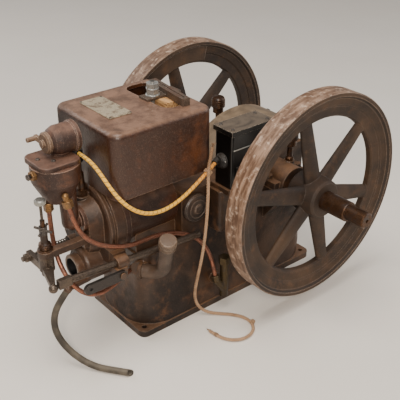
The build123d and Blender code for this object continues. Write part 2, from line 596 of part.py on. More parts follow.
def bowl_fittings():
    """The brass elbow and the brass union where both fuel lines meet the bowl."""
    first, second = Vector(*LINE_1[0]), Vector(*LINE_1[1])
    up = (first - second).normalized()
    elbow = first + up * 22
    body = rod(tuple(first + up * 12), tuple(elbow), 6) + hexagon(tuple(first), tuple(first + up * 13), 17)
    body += Pos(*elbow) * Sphere(6.5)
    body += rod(tuple(elbow), (BOWL_X + 6, BOWL_Y - 12, elbow.Z + 4), 6)
    third, fourth = Vector(*LINE_2[0]), Vector(*LINE_2[1])
    top = third + (third - fourth).normalized() * 18
    union = hexagon(tuple(third), tuple(top), 16)
    return Compound([body - bowl_cone(GAP, GAP), union - bowl_cone(GAP, GAP)])


def mixer_lid():
    """The square lid plate with rounded corners."""
    low = BOWL_RIM_Z + GAP
    plate = extrude(Pos(LID_X, LID_Y, low) * RectangleRounded(LID_WIDTH, LID_WIDTH, LID_CORNER), LID_THICK)
    return fillet(plate.faces().sort_by(Axis.Z)[-1].edges(), 2.5)


def air_barrel():
    """The horizontal air barrel on the lid, domed at its outer end."""
    place = Plane(origin=(AIR_BARREL_X1, AIR_BARREL_Y, AIR_BARREL_Z), z_dir=(-1, 0, 0))
    long = AIR_BARREL_X1 - AIR_BARREL_X0
    barrel = turned([
        (0, 0), (AIR_BARREL_R + 2, 0), (AIR_BARREL_R + 2, 7), (AIR_BARREL_R, 9), (AIR_BARREL_R, long - 16),
        (AIR_BARREL_R - 4, long - 6), (AIR_BARREL_R - 10, long), (0, long)], place)
    seat_z = BOWL_RIM_Z + GAP + LID_THICK + GAP
    foot_top = (AIR_BARREL_FOOT_X, AIR_BARREL_Y, AIR_BARREL_Z - 10)
    foot = rod((AIR_BARREL_FOOT_X, AIR_BARREL_Y, seat_z), foot_top, AIR_BARREL_FOOT_R)
    below = block((AIR_BARREL_X0 - BEYOND, AIR_BARREL_X1 + BEYOND), (-BEYOND, BEYOND), (0, seat_z))
    return barrel + foot - below


def choke_plate():
    """The brass choke disc with its lever, turning on the air barrel's end."""
    x = AIR_BARREL_X0 - GAP
    place = Plane(origin=(x, AIR_BARREL_Y, AIR_BARREL_Z), z_dir=(-1, 0, 0))
    disc = turned([(0, 0), (CHOKE_R, 0), (CHOKE_R, 5), (CHOKE_R - 3, 8), (7, 8), (7, 13), (0, 13)], place)
    lever = block((x - 8, x - 2), (AIR_BARREL_Y, AIR_BARREL_Y + 34), (AIR_BARREL_Z - 5, AIR_BARREL_Z + 5))
    grip_y = AIR_BARREL_Y + 30
    return disc + lever + rod((x - 5, grip_y, AIR_BARREL_Z), (x - 24, grip_y, AIR_BARREL_Z), 4.5)


def spark_plug():
    """The plug standing on the head's top, behind the mixer."""
    seat = PLUG_SEAT_Z + GAP
    place = Plane(origin=(PLUG_X, 0, seat))
    return hexagon((PLUG_X, 0, seat), (PLUG_X, 0, seat + 12), 21) + turned(
        [(0, 10), (8, 10), (8, 16), (6.5, 46), (4, 50), (4, PLUG_TALL), (0, PLUG_TALL)], place)


def plug_boot():
    """The terminal boot where the ignition lead meets the plug."""
    top = PLUG_SEAT_Z + PLUG_TALL
    first, second = Vector(*LEAD[0]), Vector(*LEAD[1])
    back = first + (first - second).normalized() * 12
    boot = rod((PLUG_X, 0, top - 14), (PLUG_X, 0, top + 10), 8) + rod(tuple(first), tuple(back), 6.5)
    return boot - rod((PLUG_X, 0, top - 15), (PLUG_X, 0, top + 2), 4 + GAP)


def rocker_bracket():
    """The arm from the head that carries the rocker's upright pivot pin."""
    z = BRACKET_Z
    arm = block((PIVOT_X, HEAD_FRONT_X - GAP), (PIVOT_Y - 13, PIVOT_Y + 2), (z, z + BRACKET_THICK))
    arm += Pos(PIVOT_X, PIVOT_Y, z + BRACKET_THICK / 2) * Cylinder(15, BRACKET_THICK)
    arm += block((HEAD_FRONT_X - 12, HEAD_FRONT_X - GAP), (PIVOT_Y - 8, PIVOT_Y + 22),
                 (z - 12, z + BRACKET_THICK - 1))
    pin = rod((PIVOT_X, PIVOT_Y, ROCKER_Z - 18), (PIVOT_X, PIVOT_Y, z + BRACKET_THICK), PIVOT_R)
    collar = rod((PIVOT_X, PIVOT_Y, ROCKER_Z - 18), (PIVOT_X, PIVOT_Y, ROCKER_Z - ROCKER_THICK / 2 - GAP), 11)
    return arm + pin + collar


def rocker_arm():
    """The horizontal rocker: a hub on the pin, a ball-ended arm and a screwed valve end."""
    low, high = ROCKER_Z - ROCKER_THICK / 2, ROCKER_Z + ROCKER_THICK / 2
    hub = rod((PIVOT_X, PIVOT_Y, low), (PIVOT_X, PIVOT_Y, BRACKET_Z - GAP), 14)
    reach = Vector(BALL_X - PIVOT_X, BALL_Y - PIVOT_Y, 0)
    side = Vector(-reach.Y, reach.X, 0).normalized()
    ends = [Vector(PIVOT_X, PIVOT_Y, low) + side * 11, Vector(BALL_X, BALL_Y, low) + side * 4.5,
            Vector(BALL_X, BALL_Y, low) - side * 4.5, Vector(PIVOT_X, PIVOT_Y, low) - side * 11]
    near_arm = extrude(make_face(Polyline(*ends, close=True)), 10, dir=(0, 0, 1))
    far_arm = block((PIVOT_X - 12, PIVOT_X - 2), (PIVOT_Y, VALVE_Y + 10), (low, high))
    far_arm += rod((PIVOT_X - 26, VALVE_Y, ROCKER_Z), (PIVOT_X - 1, VALVE_Y, ROCKER_Z), 5)
    far_arm += Pos(PIVOT_X - 1, VALVE_Y, ROCKER_Z) * Sphere(5)
    far_arm += hexagon((PIVOT_X - 20, VALVE_Y, ROCKER_Z), (PIVOT_X - 12, VALVE_Y, ROCKER_Z), 16)
    ball = Pos(BALL_X, BALL_Y, low + 2) * Sphere(BALL_R)
    arm = hub + near_arm + far_arm + ball
    return arm - rod((PIVOT_X, PIVOT_Y, 0), (PIVOT_X, PIVOT_Y, 400), PIVOT_R + RUN)


def exhaust_valve():
    """The exhaust valve's stem with its spring collar."""
    tip = PIVOT_X + 4 + GAP
    place = Plane(origin=(HEAD_FRONT_X, VALVE_Y, ROCKER_Z), z_dir=(-1, 0, 0))
    reach = HEAD_FRONT_X - tip
    collar = HEAD_FRONT_X - SPRING_END_X
    return turned([(0, 0), (VALVE_R, 0), (VALVE_R, collar), (11, collar), (11, collar + 4),
                   (VALVE_R, collar + 6), (VALVE_R, reach), (0, reach)], place)


def valve_spring():
    """The spring round the exhaust valve's stem, drawn up to its collar."""
    first = HEAD_FRONT_X - VALVE_GUIDE_LONG - SPRING_WIRE - 0.1
    last = SPRING_END_X + SPRING_WIRE + 0.1
    coils = tube((first, VALVE_Y, ROCKER_Z), (last, VALVE_Y, ROCKER_Z), SPRING_R + 0.5, SPRING_R - 0.5)
    for k in range(SPRING_TURNS):
        x = first + (last - first) * k / (SPRING_TURNS - 1)
        coils += Plane(origin=(x, VALVE_Y, ROCKER_Z), z_dir=(1, 0, 0)) * Torus(SPRING_R, SPRING_WIRE)
    return coils


def push_rod():
    """The long push rod with its cupped end block."""
    start = (ROD_X0 + 2, ROD_Y, ROD_Z0)
    end_block = block((ROD_X0, ROD_X0 + 28), (ROD_Y - 7, ROD_Y + 6), (ROD_Z0 - 11, ROD_Z0 + 7))
    return rod(start, (ROD_X1, ROD_Y, ROD_Z1), ROD_R) + fillet(end_block.edges(), 2.5)


def push_rod_guide():
    """The bracket on the head's flange with the eye that the push rod slides in."""
    x = GUIDE_X
    z = ROD_Z0 + (ROD_Z1 - ROD_Z0) * (x - ROD_X0) / (ROD_X1 - ROD_X0)
    arm = block((x - 8, x + 20), (ROD_Y + 12, GUIDE_IN_Y - GAP), (GUIDE_PAD_Z + 1, GUIDE_PAD_Z + 29))
    arm += block((x - 8, x + 8), (ROD_Y, ROD_Y + 14), (z - 12, z + 8))
    eye = rod((x - 12, ROD_Y, z), (x + 12, ROD_Y, z), 13)
    pin = rod((LATCH_PIN_X, LATCH_Y - 3, LATCH_Z), (LATCH_PIN_X, ROD_Y + 8, LATCH_Z), 4)
    pin += rod((LATCH_PIN_X, LATCH_Y - 3, LATCH_Z), (LATCH_PIN_X, LATCH_Y - GAP, LATCH_Z), 6.5)
    fork = block((LATCH_PIN_X - 7, x + 6), (LATCH_Y + 7 + GAP, ROD_Y + 8), (LATCH_Z - 9, z - 6))
    body = arm + eye + pin + fork
    direction = Vector(ROD_X1 - ROD_X0, 0, ROD_Z1 - ROD_Z0).normalized()
    centre = Vector(x, ROD_Y, z)
    return body - rod(tuple(centre - direction * 40), tuple(centre + direction * 40), ROD_R + 0.1)


def latch_bar():
    """The flat latch that catches the push rod, hung on a pin at the guide."""
    y = LATCH_Y
    bar = block((LATCH_X0 + 9, LATCH_PIN_X), (y, y + 7), (LATCH_Z - 10, LATCH_Z + 10))
    bar += rod((LATCH_X0 + 9, y, LATCH_Z), (LATCH_X0 + 9, y + 7, LATCH_Z), 10)
    bar += rod((LATCH_PIN_X, y, LATCH_Z), (LATCH_PIN_X, y + 7, LATCH_Z), 10)
    bar -= rod((LATCH_X0 + 12, y - 1, LATCH_Z), (LATCH_X0 + 12, y + 8, LATCH_Z), 3.5)
    return bar - rod((LATCH_PIN_X, y - 1, LATCH_Z), (LATCH_PIN_X, y + 8, LATCH_Z), 4 + RUN)


def needle_valve():
    """The needle stem with its thumb nut."""
    place = Plane(origin=(PIVOT_X, PIVOT_Y, NEEDLE_NUT_Z))
    nut = turned([(0, 0), (9, 0), (10, 2), (10, 8), (8, 10), (0, 10)], place)
    return nut + rod((PIVOT_X, PIVOT_Y, STEM_SOCKET_Z + 4), (PIVOT_X, PIVOT_Y, NEEDLE_NUT_Z + 2), STEM_R)


def fuel_cock():
    """The crossed handle on the upright guide tube."""
    hub = rod((PIVOT_X, PIVOT_Y, COCK_Z - 9), (PIVOT_X, PIVOT_Y, COCK_Z + 7), GUIDE_TUBE_R + 3)
    for turn in (35, 125):
        a = radians(turn)
        tip = Vector(17 * cos(a), 17 * sin(a), 3)
        centre = Vector(PIVOT_X, PIVOT_Y, COCK_Z)
        hub += rod(tuple(centre - tip), tuple(centre + tip), 2.4)
    return hub - rod((PIVOT_X, PIVOT_Y, COCK_Z - 30), (PIVOT_X, PIVOT_Y, COCK_Z + 30), GUIDE_TUBE_R + RUN)


def gland_stack():
    """The washers stacked on the bracket's boss, with the upright guide tube."""
    base = BRACKET_Z + BRACKET_THICK + GAP
    place = Plane(origin=(PIVOT_X, PIVOT_Y, base))
    body = turned([(0, 0), (14, 0), (14, 3), (10, 4), (12, 6), (10, 8), (12, 10), (10, 12), (11, 14),
                   (7, 16), (7, COCK_Z - 9.5 - base), (GUIDE_TUBE_R, COCK_Z - 9.5 - base),
                   (GUIDE_TUBE_R, TUBE_TOP_Z - base), (0, TUBE_TOP_Z - base)], place)
    return body - rod((PIVOT_X, PIVOT_Y, STEM_SOCKET_Z), (PIVOT_X, PIVOT_Y, TUBE_TOP_Z + 1), STEM_R + RUN)


def fuel_pump():
    """The upright fuel pump with its slanting inlet arm and its foot on the base."""
    body = rod((PUMP_X, PUMP_Y, PUMP_Z0), (PUMP_X, PUMP_Y, PUMP_TOP_Z), PUMP_R)
    body += hexagon((PUMP_X, PUMP_Y, PUMP_TOP_Z - 4), (PUMP_X, PUMP_Y, PUMP_TOP_Z + 12), PUMP_NUT)
    end, before = Vector(*LINE_1[-1]), Vector(*LINE_1[-2])
    down = (end - before).normalized()
    body += hexagon(tuple(end), tuple(end + down * 13), 16)
    body += Pos(*(end + down * 12)) * Sphere(7.5)
    body += rod((PUMP_X, PUMP_Y, 44), tuple(end + down * 12), 7)
    body += rod((PUMP_X, PUMP_Y, PUMP_FOOT_Z), (PUMP_X, PUMP_PAD_Y - GAP, PUMP_FOOT_Z), 8)
    return body


def filler_pipe():
    """The fuel tank's filler: a pipe out of the base's corner, bent up and outwards."""
    path = filler_path()
    place = Plane(origin=path @ 0, z_dir=path % 0)
    seat = rod(PIPE_START, tuple(Vector(*PIPE_START) + (path % 0) * GAP), PIPE_R + 1)
    return sweep(place * Circle(PIPE_R), path) - seat


def filler_cap():
    """The screwed cap on the filler pipe."""
    top, up = Vector(*PIPE_TOP), (Vector(*PIPE_TOP) - Vector(*PIPE_ELBOW)).normalized()
    place = Plane(origin=top - up * 12, z_dir=up)
    inner = PIPE_R + RUN
    return turned([(inner, 0), (CAP_R - 1, 0), (CAP_R, 1.5), (CAP_R - 1.2, 8), (CAP_R, 9), (CAP_R, 20),
                   (CAP_R - 2, 22), (0, 22.5), (0, 12 + GAP), (inner, 12 + GAP)], place)


def hopper_plate():
    """A bare plate on the hopper's top."""
    plate = block(PLATE_X, PLATE_Y, (HOPPER_TOP + GAP, HOPPER_TOP + PLATE_UP))
    return fillet(plate.edges().filter_by(Axis.Z), 4)


def clamp_bar():
    """The grooved steel bar across the filler opening, with the flat strap under the bolt."""
    z = HOPPER_TOP + GAP
    place = Pos(CLAMP_X, CLAMP_Y, z) * Rot(0, 0, -CLAMP_TURN)
    bar = place * block((-8, 8), (-62, 62), (0, 15))
    bar -= place * block((-2.5, 2.5), (-54, 54), (12, 16))
    bar += block((BOLT_CX - 22, -72), (BOLT_CY - 14, BOLT_CY + 14), (z, z + STRAP_THICK))
    return bar - rod((BOLT_CX, BOLT_CY, z - 1), (BOLT_CX, BOLT_CY, z + 20), CLAMP_BOLT_R + GAP)


def clamp_bolt():
    """The bolt with its washer and two nuts on the strap."""
    z = HOPPER_TOP + 2 * GAP + STRAP_THICK
    body = rod((BOLT_CX, BOLT_CY, z - 32), (BOLT_CX, BOLT_CY, z + 28), CLAMP_BOLT_R)
    body += rod((BOLT_CX, BOLT_CY, z), (BOLT_CX, BOLT_CY, z + 2.5), 14)
    body += hexagon((BOLT_CX, BOLT_CY, z + 2), (BOLT_CX, BOLT_CY, z + 13), 22)
    body += rod((BOLT_CX, BOLT_CY, z + 12.5), (BOLT_CX, BOLT_CY, z + 15), 12.5)
    return body + hexagon((BOLT_CX, BOLT_CY, z + 14.5), (BOLT_CX, BOLT_CY, z + 25), 22)


def wood_block():
    """A block of wood under the bar, against the opening's wall."""
    x1 = FILLER_X + FILLER_WIDTH / 2 - GAP
    return block((x1 - 44, x1), (-37, 0), (HOPPER_TOP - 22, HOPPER_TOP - GAP))


def save(shape, name):
    """Writes one node."""
    export_step(shape, f"parts/{name}.step")


def main():
    """Builds every node."""
    os.makedirs("parts", exist_ok=True)
    made = {
        "engine_base": engine_base(),
        "near_bearing_cap": bearing_cap(-1),
        "far_bearing_cap": bearing_cap(1),
        "near_grease_cup": grease_cup(-1),
        "far_grease_cup": grease_cup(1),
        "crank_guard": crank_guard(),
        "water_hopper": water_hopper(),
        "cylinder_head": cylinder_head(),
        "crankshaft": crankshaft(),
        "near_flywheel": flywheel(-1),
        "far_flywheel": flywheel(1),
        "magneto_case": magneto_case(),
        "magneto_cover": magneto_cover(),
        "magneto_terminal": magneto_terminal(),
        "magneto_bracket": magneto_bracket(),
        "side_cover": side_cover(),
        "mixer_bowl": mixer_bowl(),
        "bowl_fittings": bowl_fittings(),
        "mixer_lid": mixer_lid(),
        "air_barrel": air_barrel(),
        "choke_plate": choke_plate(),
        "spark_plug": spark_plug(),
        "plug_boot": plug_boot(),
        "rocker_bracket": rocker_bracket(),
        "rocker_arm": rocker_arm(),
        "exhaust_valve": exhaust_valve(),
        "valve_spring": valve_spring(),
        "push_rod": push_rod(),
        "push_rod_guide": push_rod_guide(),
        "latch_bar": latch_bar(),
        "needle_valve": needle_valve(),
        "fuel_cock": fuel_cock(),
        "gland_stack": gland_stack(),
        "fuel_pump": fuel_pump(),
        "filler_pipe": filler_pipe(),
        "filler_cap": filler_cap(),
        "hopper_plate": hopper_plate(),
        "clamp_bar": clamp_bar(),
        "clamp_bolt": clamp_bolt(),
        "wood_block": wood_block(),
    }
    runs = {"fuel_line_to_pump": (LINE_1, TUBE_R), "fuel_line_to_tank": (LINE_2, TUBE_R),
            "ignition_lead": (LEAD, LEAD_R), "drain_hose": (HOSE, HOSE_R), "rope": (ROPE, ROPE_R)}
    for name, (points, radius) in runs.items():
        body, length, radii, share = bent(points, radius)
        made[name] = body
        print(name, "length", round(length, 1), "share", round(share, 4), "radii", [round(r, 1) for r in radii])
    for name, shape in made.items():
        save(shape, name)


main()
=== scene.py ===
"""A worn hit-and-miss engine with two spoked flywheels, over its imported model, in metres."""

from math import cos, pi, radians, sin

import bmesh
import bpy
from mathutils import Matrix, Vector


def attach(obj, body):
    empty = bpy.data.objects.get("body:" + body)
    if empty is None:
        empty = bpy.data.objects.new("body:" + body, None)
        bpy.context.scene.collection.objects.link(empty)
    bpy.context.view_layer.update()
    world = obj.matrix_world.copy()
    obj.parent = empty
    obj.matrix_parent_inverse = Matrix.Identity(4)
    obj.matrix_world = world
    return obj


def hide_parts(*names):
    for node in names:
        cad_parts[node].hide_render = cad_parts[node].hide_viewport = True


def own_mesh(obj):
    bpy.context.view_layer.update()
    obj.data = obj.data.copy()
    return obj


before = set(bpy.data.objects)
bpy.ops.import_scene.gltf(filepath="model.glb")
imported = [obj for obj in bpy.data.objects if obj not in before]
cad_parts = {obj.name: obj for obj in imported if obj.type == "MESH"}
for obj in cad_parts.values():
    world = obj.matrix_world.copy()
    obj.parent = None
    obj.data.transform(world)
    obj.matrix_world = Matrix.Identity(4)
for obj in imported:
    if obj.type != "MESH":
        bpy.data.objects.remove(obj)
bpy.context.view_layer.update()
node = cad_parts


# The stage: a pale floor under soft overhead light, with the photograph's viewpoint.
# The camera stands near the head's corner and looks down along the push rod side.
scene = bpy.context.scene


def link(piece):
    """Puts a new object into the scene."""
    scene.collection.objects.link(piece)
    return piece


SENSOR_WIDE, FOCAL_PIXELS, PICTURE_WIDE = 36.0, 754.5, 400
CAMERA_PLACE = Vector((-0.9246, -1.0957, 0.9976))
YAW, PITCH, ROLL = radians(39.68), radians(29.2), radians(0.23)
camera = link(bpy.data.objects.new("camera", bpy.data.cameras.new("camera")))
camera.data.sensor_width = SENSOR_WIDE
camera.data.lens = SENSOR_WIDE * FOCAL_PIXELS / PICTURE_WIDE
ahead = Vector((sin(YAW) * cos(PITCH), cos(YAW) * cos(PITCH), -sin(PITCH)))
level = Vector((cos(YAW), -sin(YAW), 0))
right = level * cos(ROLL) + level.cross(ahead) * sin(ROLL)
axes = Matrix((right, right.cross(ahead), -ahead)).transposed()
camera.matrix_world = Matrix.Translation(CAMERA_PLACE) @ axes.to_4x4()
camera.data.clip_start, camera.data.clip_end = 0.05, 40
scene.camera = camera

world = bpy.data.worlds.new("studio")
world.use_nodes = True
around = world.node_tree.nodes["Background"].inputs
around["Color"].default_value = (1.0, 0.97, 0.94, 1)
around["Strength"].default_value = 0.36
scene.world = world


def lamp(name, place, target, size, power, tint=(1, 1, 1)):
    """A soft square light that points at a target."""
    light = bpy.data.lights.new(name, "AREA")
    light.energy, light.size, light.color = power, size, tint
    made = link(bpy.data.objects.new(name, light))
    made.location = place
    made.rotation_euler = (Vector(target) - Vector(place)).to_track_quat("-Z", "Y").to_euler()


lamp("overhead", place=(-0.5, -0.3, 2.5), target=(0, 0, 0.2), size=1.4, power=50,
     tint=(1.0, 0.95, 0.88))
lamp("front", place=(-1.35, -1.65, 1.5), target=(0, 0, 0.25), size=0.5, power=40,
     tint=(1.0, 0.92, 0.82))
lamp("window", place=(2.4, -1.2, 1.5), target=(0.1, 0, 0.3), size=1.4, power=20,
     tint=(0.92, 0.96, 1.0))
lamp("back", place=(-0.8, 2.6, 1.6), target=(0, 0, 0.3), size=1.4, power=26)

FLOOR_HALF = 6
floor_mesh = bpy.data.meshes.new("floor")
floor_mesh.from_pydata([(x * FLOOR_HALF, y * FLOOR_HALF, 0)
                        for x, y in ((-1, -1), (1, -1), (1, 1), (-1, 1))], [], [(0, 1, 2, 3)])
floor = link(bpy.data.objects.new("floor", floor_mesh))


class Wire:
    """A socket of a finish: an operator on it adds the Math node that works it out."""

    def __init__(self, finish, socket):
        self.finish, self.socket = finish, socket

    def math(self, operation, a, b=0.0):
        return self.finish.add("ShaderNodeMath", {"operation": operation}, {0: a, 1: b})

    def __add__(self, other):
        return self.math("ADD", self, other)

    __radd__ = __add__

    def __mul__(self, other):
        return self.math("MULTIPLY", self, other)

    __rmul__ = __mul__

    def __sub__(self, other):
        return self.math("SUBTRACT", self, other)

    def __rsub__(self, other):
        return self.math("SUBTRACT", other, self)

    def sine(self):
        return self.math("SINE", self)

    def between(self, low, high):
        """0 at low and 1 at high, with a soft start and end."""
        return self.finish.add("ShaderNodeMapRange", {"interpolation_type": "SMOOTHSTEP"},
                               {"Value": self, "From Min": low, "From Max": high})


class Finish:
    """A material being mixed from nodes on the object's own coordinates."""

    def __init__(self, name):
        self.material = bpy.data.materials.new(name)
        self.material.use_nodes = True
        self.nodes = self.material.node_tree.nodes
        self.links = self.material.node_tree.links
        self.nodes.clear()
        self.place = self.add("ShaderNodeTexCoord", output="Object")

    def add(self, kind, settings=None, inputs=None, output=0):
        """Any node: its settings first, then its sockets' values or wires."""
        made = self.nodes.new(kind)
        for key, value in (settings or {}).items():
            setattr(made, key, value)
        for key, value in (inputs or {}).items():
            if isinstance(value, Wire):
                self.links.new(value.socket, made.inputs[key])
            else:
                made.inputs[key].default_value = value
        return Wire(self, made.outputs[output])

    def noise(self, scale, detail=4.0, rough=0.6, stretch=(1, 1, 1), twist=0.0):
        """Cloudy noise with a number of patches to the metre."""
        where = self.add("ShaderNodeMapping", {}, {"Vector": self.place, "Scale": stretch})
        look = {"Scale": scale, "Detail": detail, "Roughness": rough, "Distortion": twist}
        return self.add("ShaderNodeTexNoise", {}, {"Vector": where, **look})

    def mix(self, share, under, over):
        """Two colours, the second laid over the first where the share is 1."""
        return self.add("ShaderNodeMix", {"data_type": "RGBA"}, {0: share, 6: under, 7: over}, 2)

    def vectors(self, operation, inputs, output="Vector"):
        """A Vector Math node on one or two vectors."""
        return self.add("ShaderNodeVectorMath", {"operation": operation},
                        dict(enumerate(inputs)), output)

    def edges(self, width):
        """1 along sharp edges and 0 on flat faces, and the rounded normal itself."""
        rounded = self.add("ShaderNodeBevel", {"samples": 4}, {"Radius": width})
        flat = self.add("ShaderNodeNewGeometry", output="Normal")
        even = self.vectors("DOT_PRODUCT", (rounded, flat), "Value")
        return (1.0 - even).between(0.01, 0.16), rounded

    def upward(self):
        """How far a face looks up, from -1 to 1."""
        flat = self.add("ShaderNodeNewGeometry", output="Normal")
        return self.add("ShaderNodeSeparateXYZ", {}, {0: flat}, "Z")

    def along(self, axis):
        """The place along one of the object's axes, in metres."""
        return self.add("ShaderNodeSeparateXYZ", {}, {0: self.place}, axis)

    def cordwise(self):
        """The places along and round a cord, from its own UV map."""
        spot = self.add("ShaderNodeTexCoord", output="UV")
        return [self.add("ShaderNodeSeparateXYZ", {}, {0: spot}, axis) for axis in "XY"]

    def reach(self, centre, lengthwise):
        """How far a place is from an axis through a centre."""
        arm = self.vectors("SUBTRACT", (self.place, centre))
        flat = tuple(0.0 if letter == lengthwise else 1.0 for letter in "XYZ")
        return self.vectors("LENGTH", (self.vectors("MULTIPLY", (arm, flat)),), "Value")

    def done(self, colour, rough, metal=0.0, height=None, depth=0.0, normal=None):
        """The surface that the nodes feed, with a relief of some depth where a height is given."""
        feeds = {"Base Color": colour, "Roughness": rough, "Metallic": metal}
        if height is not None:
            bump = {"Height": height, "Distance": depth, "Strength": 1.0}
            if normal is not None:
                bump["Normal"] = normal
            feeds["Normal"] = self.add("ShaderNodeBump", {}, bump)
        shader = self.add("ShaderNodeBsdfPrincipled", {}, feeds)
        self.links.new(shader.socket, self.nodes.new("ShaderNodeOutputMaterial").inputs["Surface"])
        return self.material


DISPLAY_GAMMA = 2.2


def tone(red, green, blue):
    """A colour read as 0 to 255, in the linear values that a shader takes."""
    return tuple((v / 255) ** DISPLAY_GAMMA for v in (red, green, blue)) + (1.0,)


def pale_floor():
    """A plain pale floor with the faintest unevenness."""
    f = Finish("pale_floor")
    return f.done(f.mix(f.noise(3), tone(226, 218, 208), tone(234, 227, 218)), 0.85)


floor_mesh.materials.append(pale_floor())


def wear(piece, material, body=None):
    """Gives a piece or a carried-over node its finish, and a new piece its slot and body."""
    piece.data.materials.clear()
    piece.data.materials.append(material)
    if body:
        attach(piece, body)
    return piece


# The ignition lead: rubber cable under a yellow braid, from the plug's boot to the magneto.
# It is seen from end to end, so its length is the route's own.
LEAD = [(-0.311, -0.014, 0.4083), (-0.3091, -0.0325, 0.4065), (-0.3075, -0.051, 0.4018),
        (-0.3068, -0.0676, 0.3949), (-0.3059, -0.0814, 0.3861), (-0.3035, -0.0926, 0.3752),
        (-0.2986, -0.1014, 0.3621), (-0.2898, -0.1085, 0.3461), (-0.2761, -0.114, 0.3288),
        (-0.2576, -0.1174, 0.3129), (-0.2353, -0.1188, 0.3019), (-0.2106, -0.1188, 0.297),
        (-0.1849, -0.1181, 0.2984), (-0.1597, -0.117, 0.3048), (-0.136, -0.1156, 0.3146),
        (-0.1141, -0.1139, 0.3257), (-0.0945, -0.1119, 0.3357), (-0.0787, -0.1088, 0.3419),
        (-0.0653, -0.104, 0.346)]
LEAD_LENGTH, LEAD_ACROSS = 0.3768, 0.0076


def laid(name, points, fineness):
    """The points of a smooth line pulled along a cord's route."""
    curve = bpy.data.curves.new(name, "CURVE")
    curve.dimensions, curve.resolution_u = "3D", fineness
    spline = curve.splines.new("NURBS")
    spline.points.add(len(points) - 1)
    for knot, spot in zip(spline.points, points):
        knot.co = (*spot, 1)
    spline.order_u = 3
    spline.use_endpoint_u = True
    holder = link(bpy.data.objects.new(name, curve))
    ready = holder.evaluated_get(bpy.context.evaluated_depsgraph_get())
    line = [v.co.copy() for v in bpy.data.meshes.new_from_object(ready).vertices]
    bpy.data.objects.remove(holder)
    return line


# A strand's radius over its rope's, and a bore's depth over its radius.
STRAND_SHARE, BORE_DEEP = 0.54, 4


def spun(name, line, radius, sides=14, strands=1, pitch=0.02, bore=0.0, slant=(0, 0, 0)):
    """A cord along a line, of one strand or several twisted; a bore opens its slanting end."""
    bm = bmesh.new()
    uv = bm.loops.layers.uv.new("along")
    thick = radius if strands == 1 else radius * STRAND_SHARE
    side, gone, path = None, 0.0, []
    for i, spot in enumerate(line):
        onward = (line[min(i + 1, len(line) - 1)] - line[max(i - 1, 0)]).normalized()
        side = onward.orthogonal() if side is None else side
        side = (side - onward * side.dot(onward)).normalized()
        gone += (spot - line[max(i - 1, 0)]).length
        path.append((spot, side, onward.cross(side), gone))

    def ring(heart, side, lift, across, onward=None):
        turns = [2 * pi * j / sides for j in range(sides)]
        outs = [(side * cos(turn) + lift * sin(turn)) * across for turn in turns]
        if onward is None:
            return [bm.verts.new(heart + out) for out in outs]
        return [bm.verts.new(heart + out - onward * out.dot(Vector(slant))) for out in outs]

    def skin(low, high, reached, reaches):
        for j in range(sides):
            n = (j + 1) % sides
            face = bm.faces.new((low[j], low[n], high[n], high[j]))
            face.smooth = True
            corners = ((reached, j), (reached, j + 1), (reaches, j + 1), (reaches, j))
            for loop, (u, v) in zip(face.loops, corners):
                loop[uv].uv = (u, v / sides)

    for k in range(strands):
        rings = []
        for spot, side, lift, gone in path:
            turn = 2 * pi * (gone / pitch + k / strands)
            heart = spot + (side * cos(turn) + lift * sin(turn)) * (radius - thick)
            rings.append(ring(heart, side, lift, thick))
        for i in range(len(rings) - 1):
            skin(rings[i], rings[i + 1], path[i][3], path[i + 1][3])
        bm.faces.new(reversed(rings[0]))
        last = rings[-1]
        if bore:
            spot, side, lift, gone = path[-1]
            onward = (line[-1] - line[-2]).normalized()
            mouth = ring(spot, side, lift, bore, onward)
            deep = ring(spot - onward * BORE_DEEP * bore, side, lift, bore)
            for v, out in zip(last, ring(spot, side, lift, radius, onward)):
                v.co = out.co
                bm.verts.remove(out)
            skin(last, mouth, gone, gone)
            skin(mouth, deep, gone, gone)
            last = deep
        bm.faces.new(last)
    mesh = bpy.data.meshes.new(name)
    bm.to_mesh(mesh)
    bm.free()
    return link(bpy.data.objects.new(name, mesh))


BRAID_ALONG, BRAID_ROUND, TRACER_ALONG, TRACER_ROUND = 1900, 25.13, 640, 6.283


def braid():
    """Yellow cotton braid in short blocks between dark tracers, redder towards the magneto."""
    f = Finish("yellow_braid")
    u, v = f.cordwise()
    weave = ((u * BRAID_ALONG + v * BRAID_ROUND).sine()
             * (u * BRAID_ALONG - v * BRAID_ROUND).sine())
    tracer = (u * TRACER_ALONG + v * TRACER_ROUND).sine().between(0.8, 0.97)
    flecks = f.noise(520, 2).between(0.5, 0.72)
    threads = f.mix(weave.between(-0.6, 0.6), tone(228, 146, 34), tone(255, 210, 84))
    threads = f.mix(flecks * 0.45, threads, tone(255, 238, 176))
    threads = f.mix((u + f.noise(90) * 0.08).between(0.27, 0.4) * 0.55, threads, tone(206, 112, 62))
    threads = f.mix(tracer * 0.7, threads, tone(80, 52, 26))
    return f.done(threads, 0.8, height=weave, depth=0.0004)


lead_line = laid("lead_line", LEAD, fineness=16)
lead = wear(spun("braided_lead", lead_line, LEAD_ACROSS / 2), braid(), "engine")
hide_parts("ignition_lead")


# The drain hose: grey rubber with a rough dusty skin, from the exhaust's drain to the floor.
# Its open end lies on the floor, as in the photograph.
HOSE = [(-0.3838, -0.0564, 0.1621), (-0.3964, -0.0506, 0.142), (-0.4065, -0.0468, 0.1218),
        (-0.4122, -0.0467, 0.1015), (-0.4134, -0.0509, 0.0811), (-0.4091, -0.0582, 0.0605),
        (-0.4012, -0.0694, 0.0415), (-0.3906, -0.0837, 0.0255), (-0.3784, -0.1, 0.0138),
        (-0.3657, -0.1173, 0.0077), (-0.3529, -0.1348, 0.0072), (-0.34, -0.1519, 0.0072),
        (-0.3269, -0.1686, 0.0072)]
HOSE_LENGTH, HOSE_ACROSS, HOSE_BORE = 0.2682, 0.013, 0.0042
HOSE_SLANT = (-0.5, -0.45, 0.45)


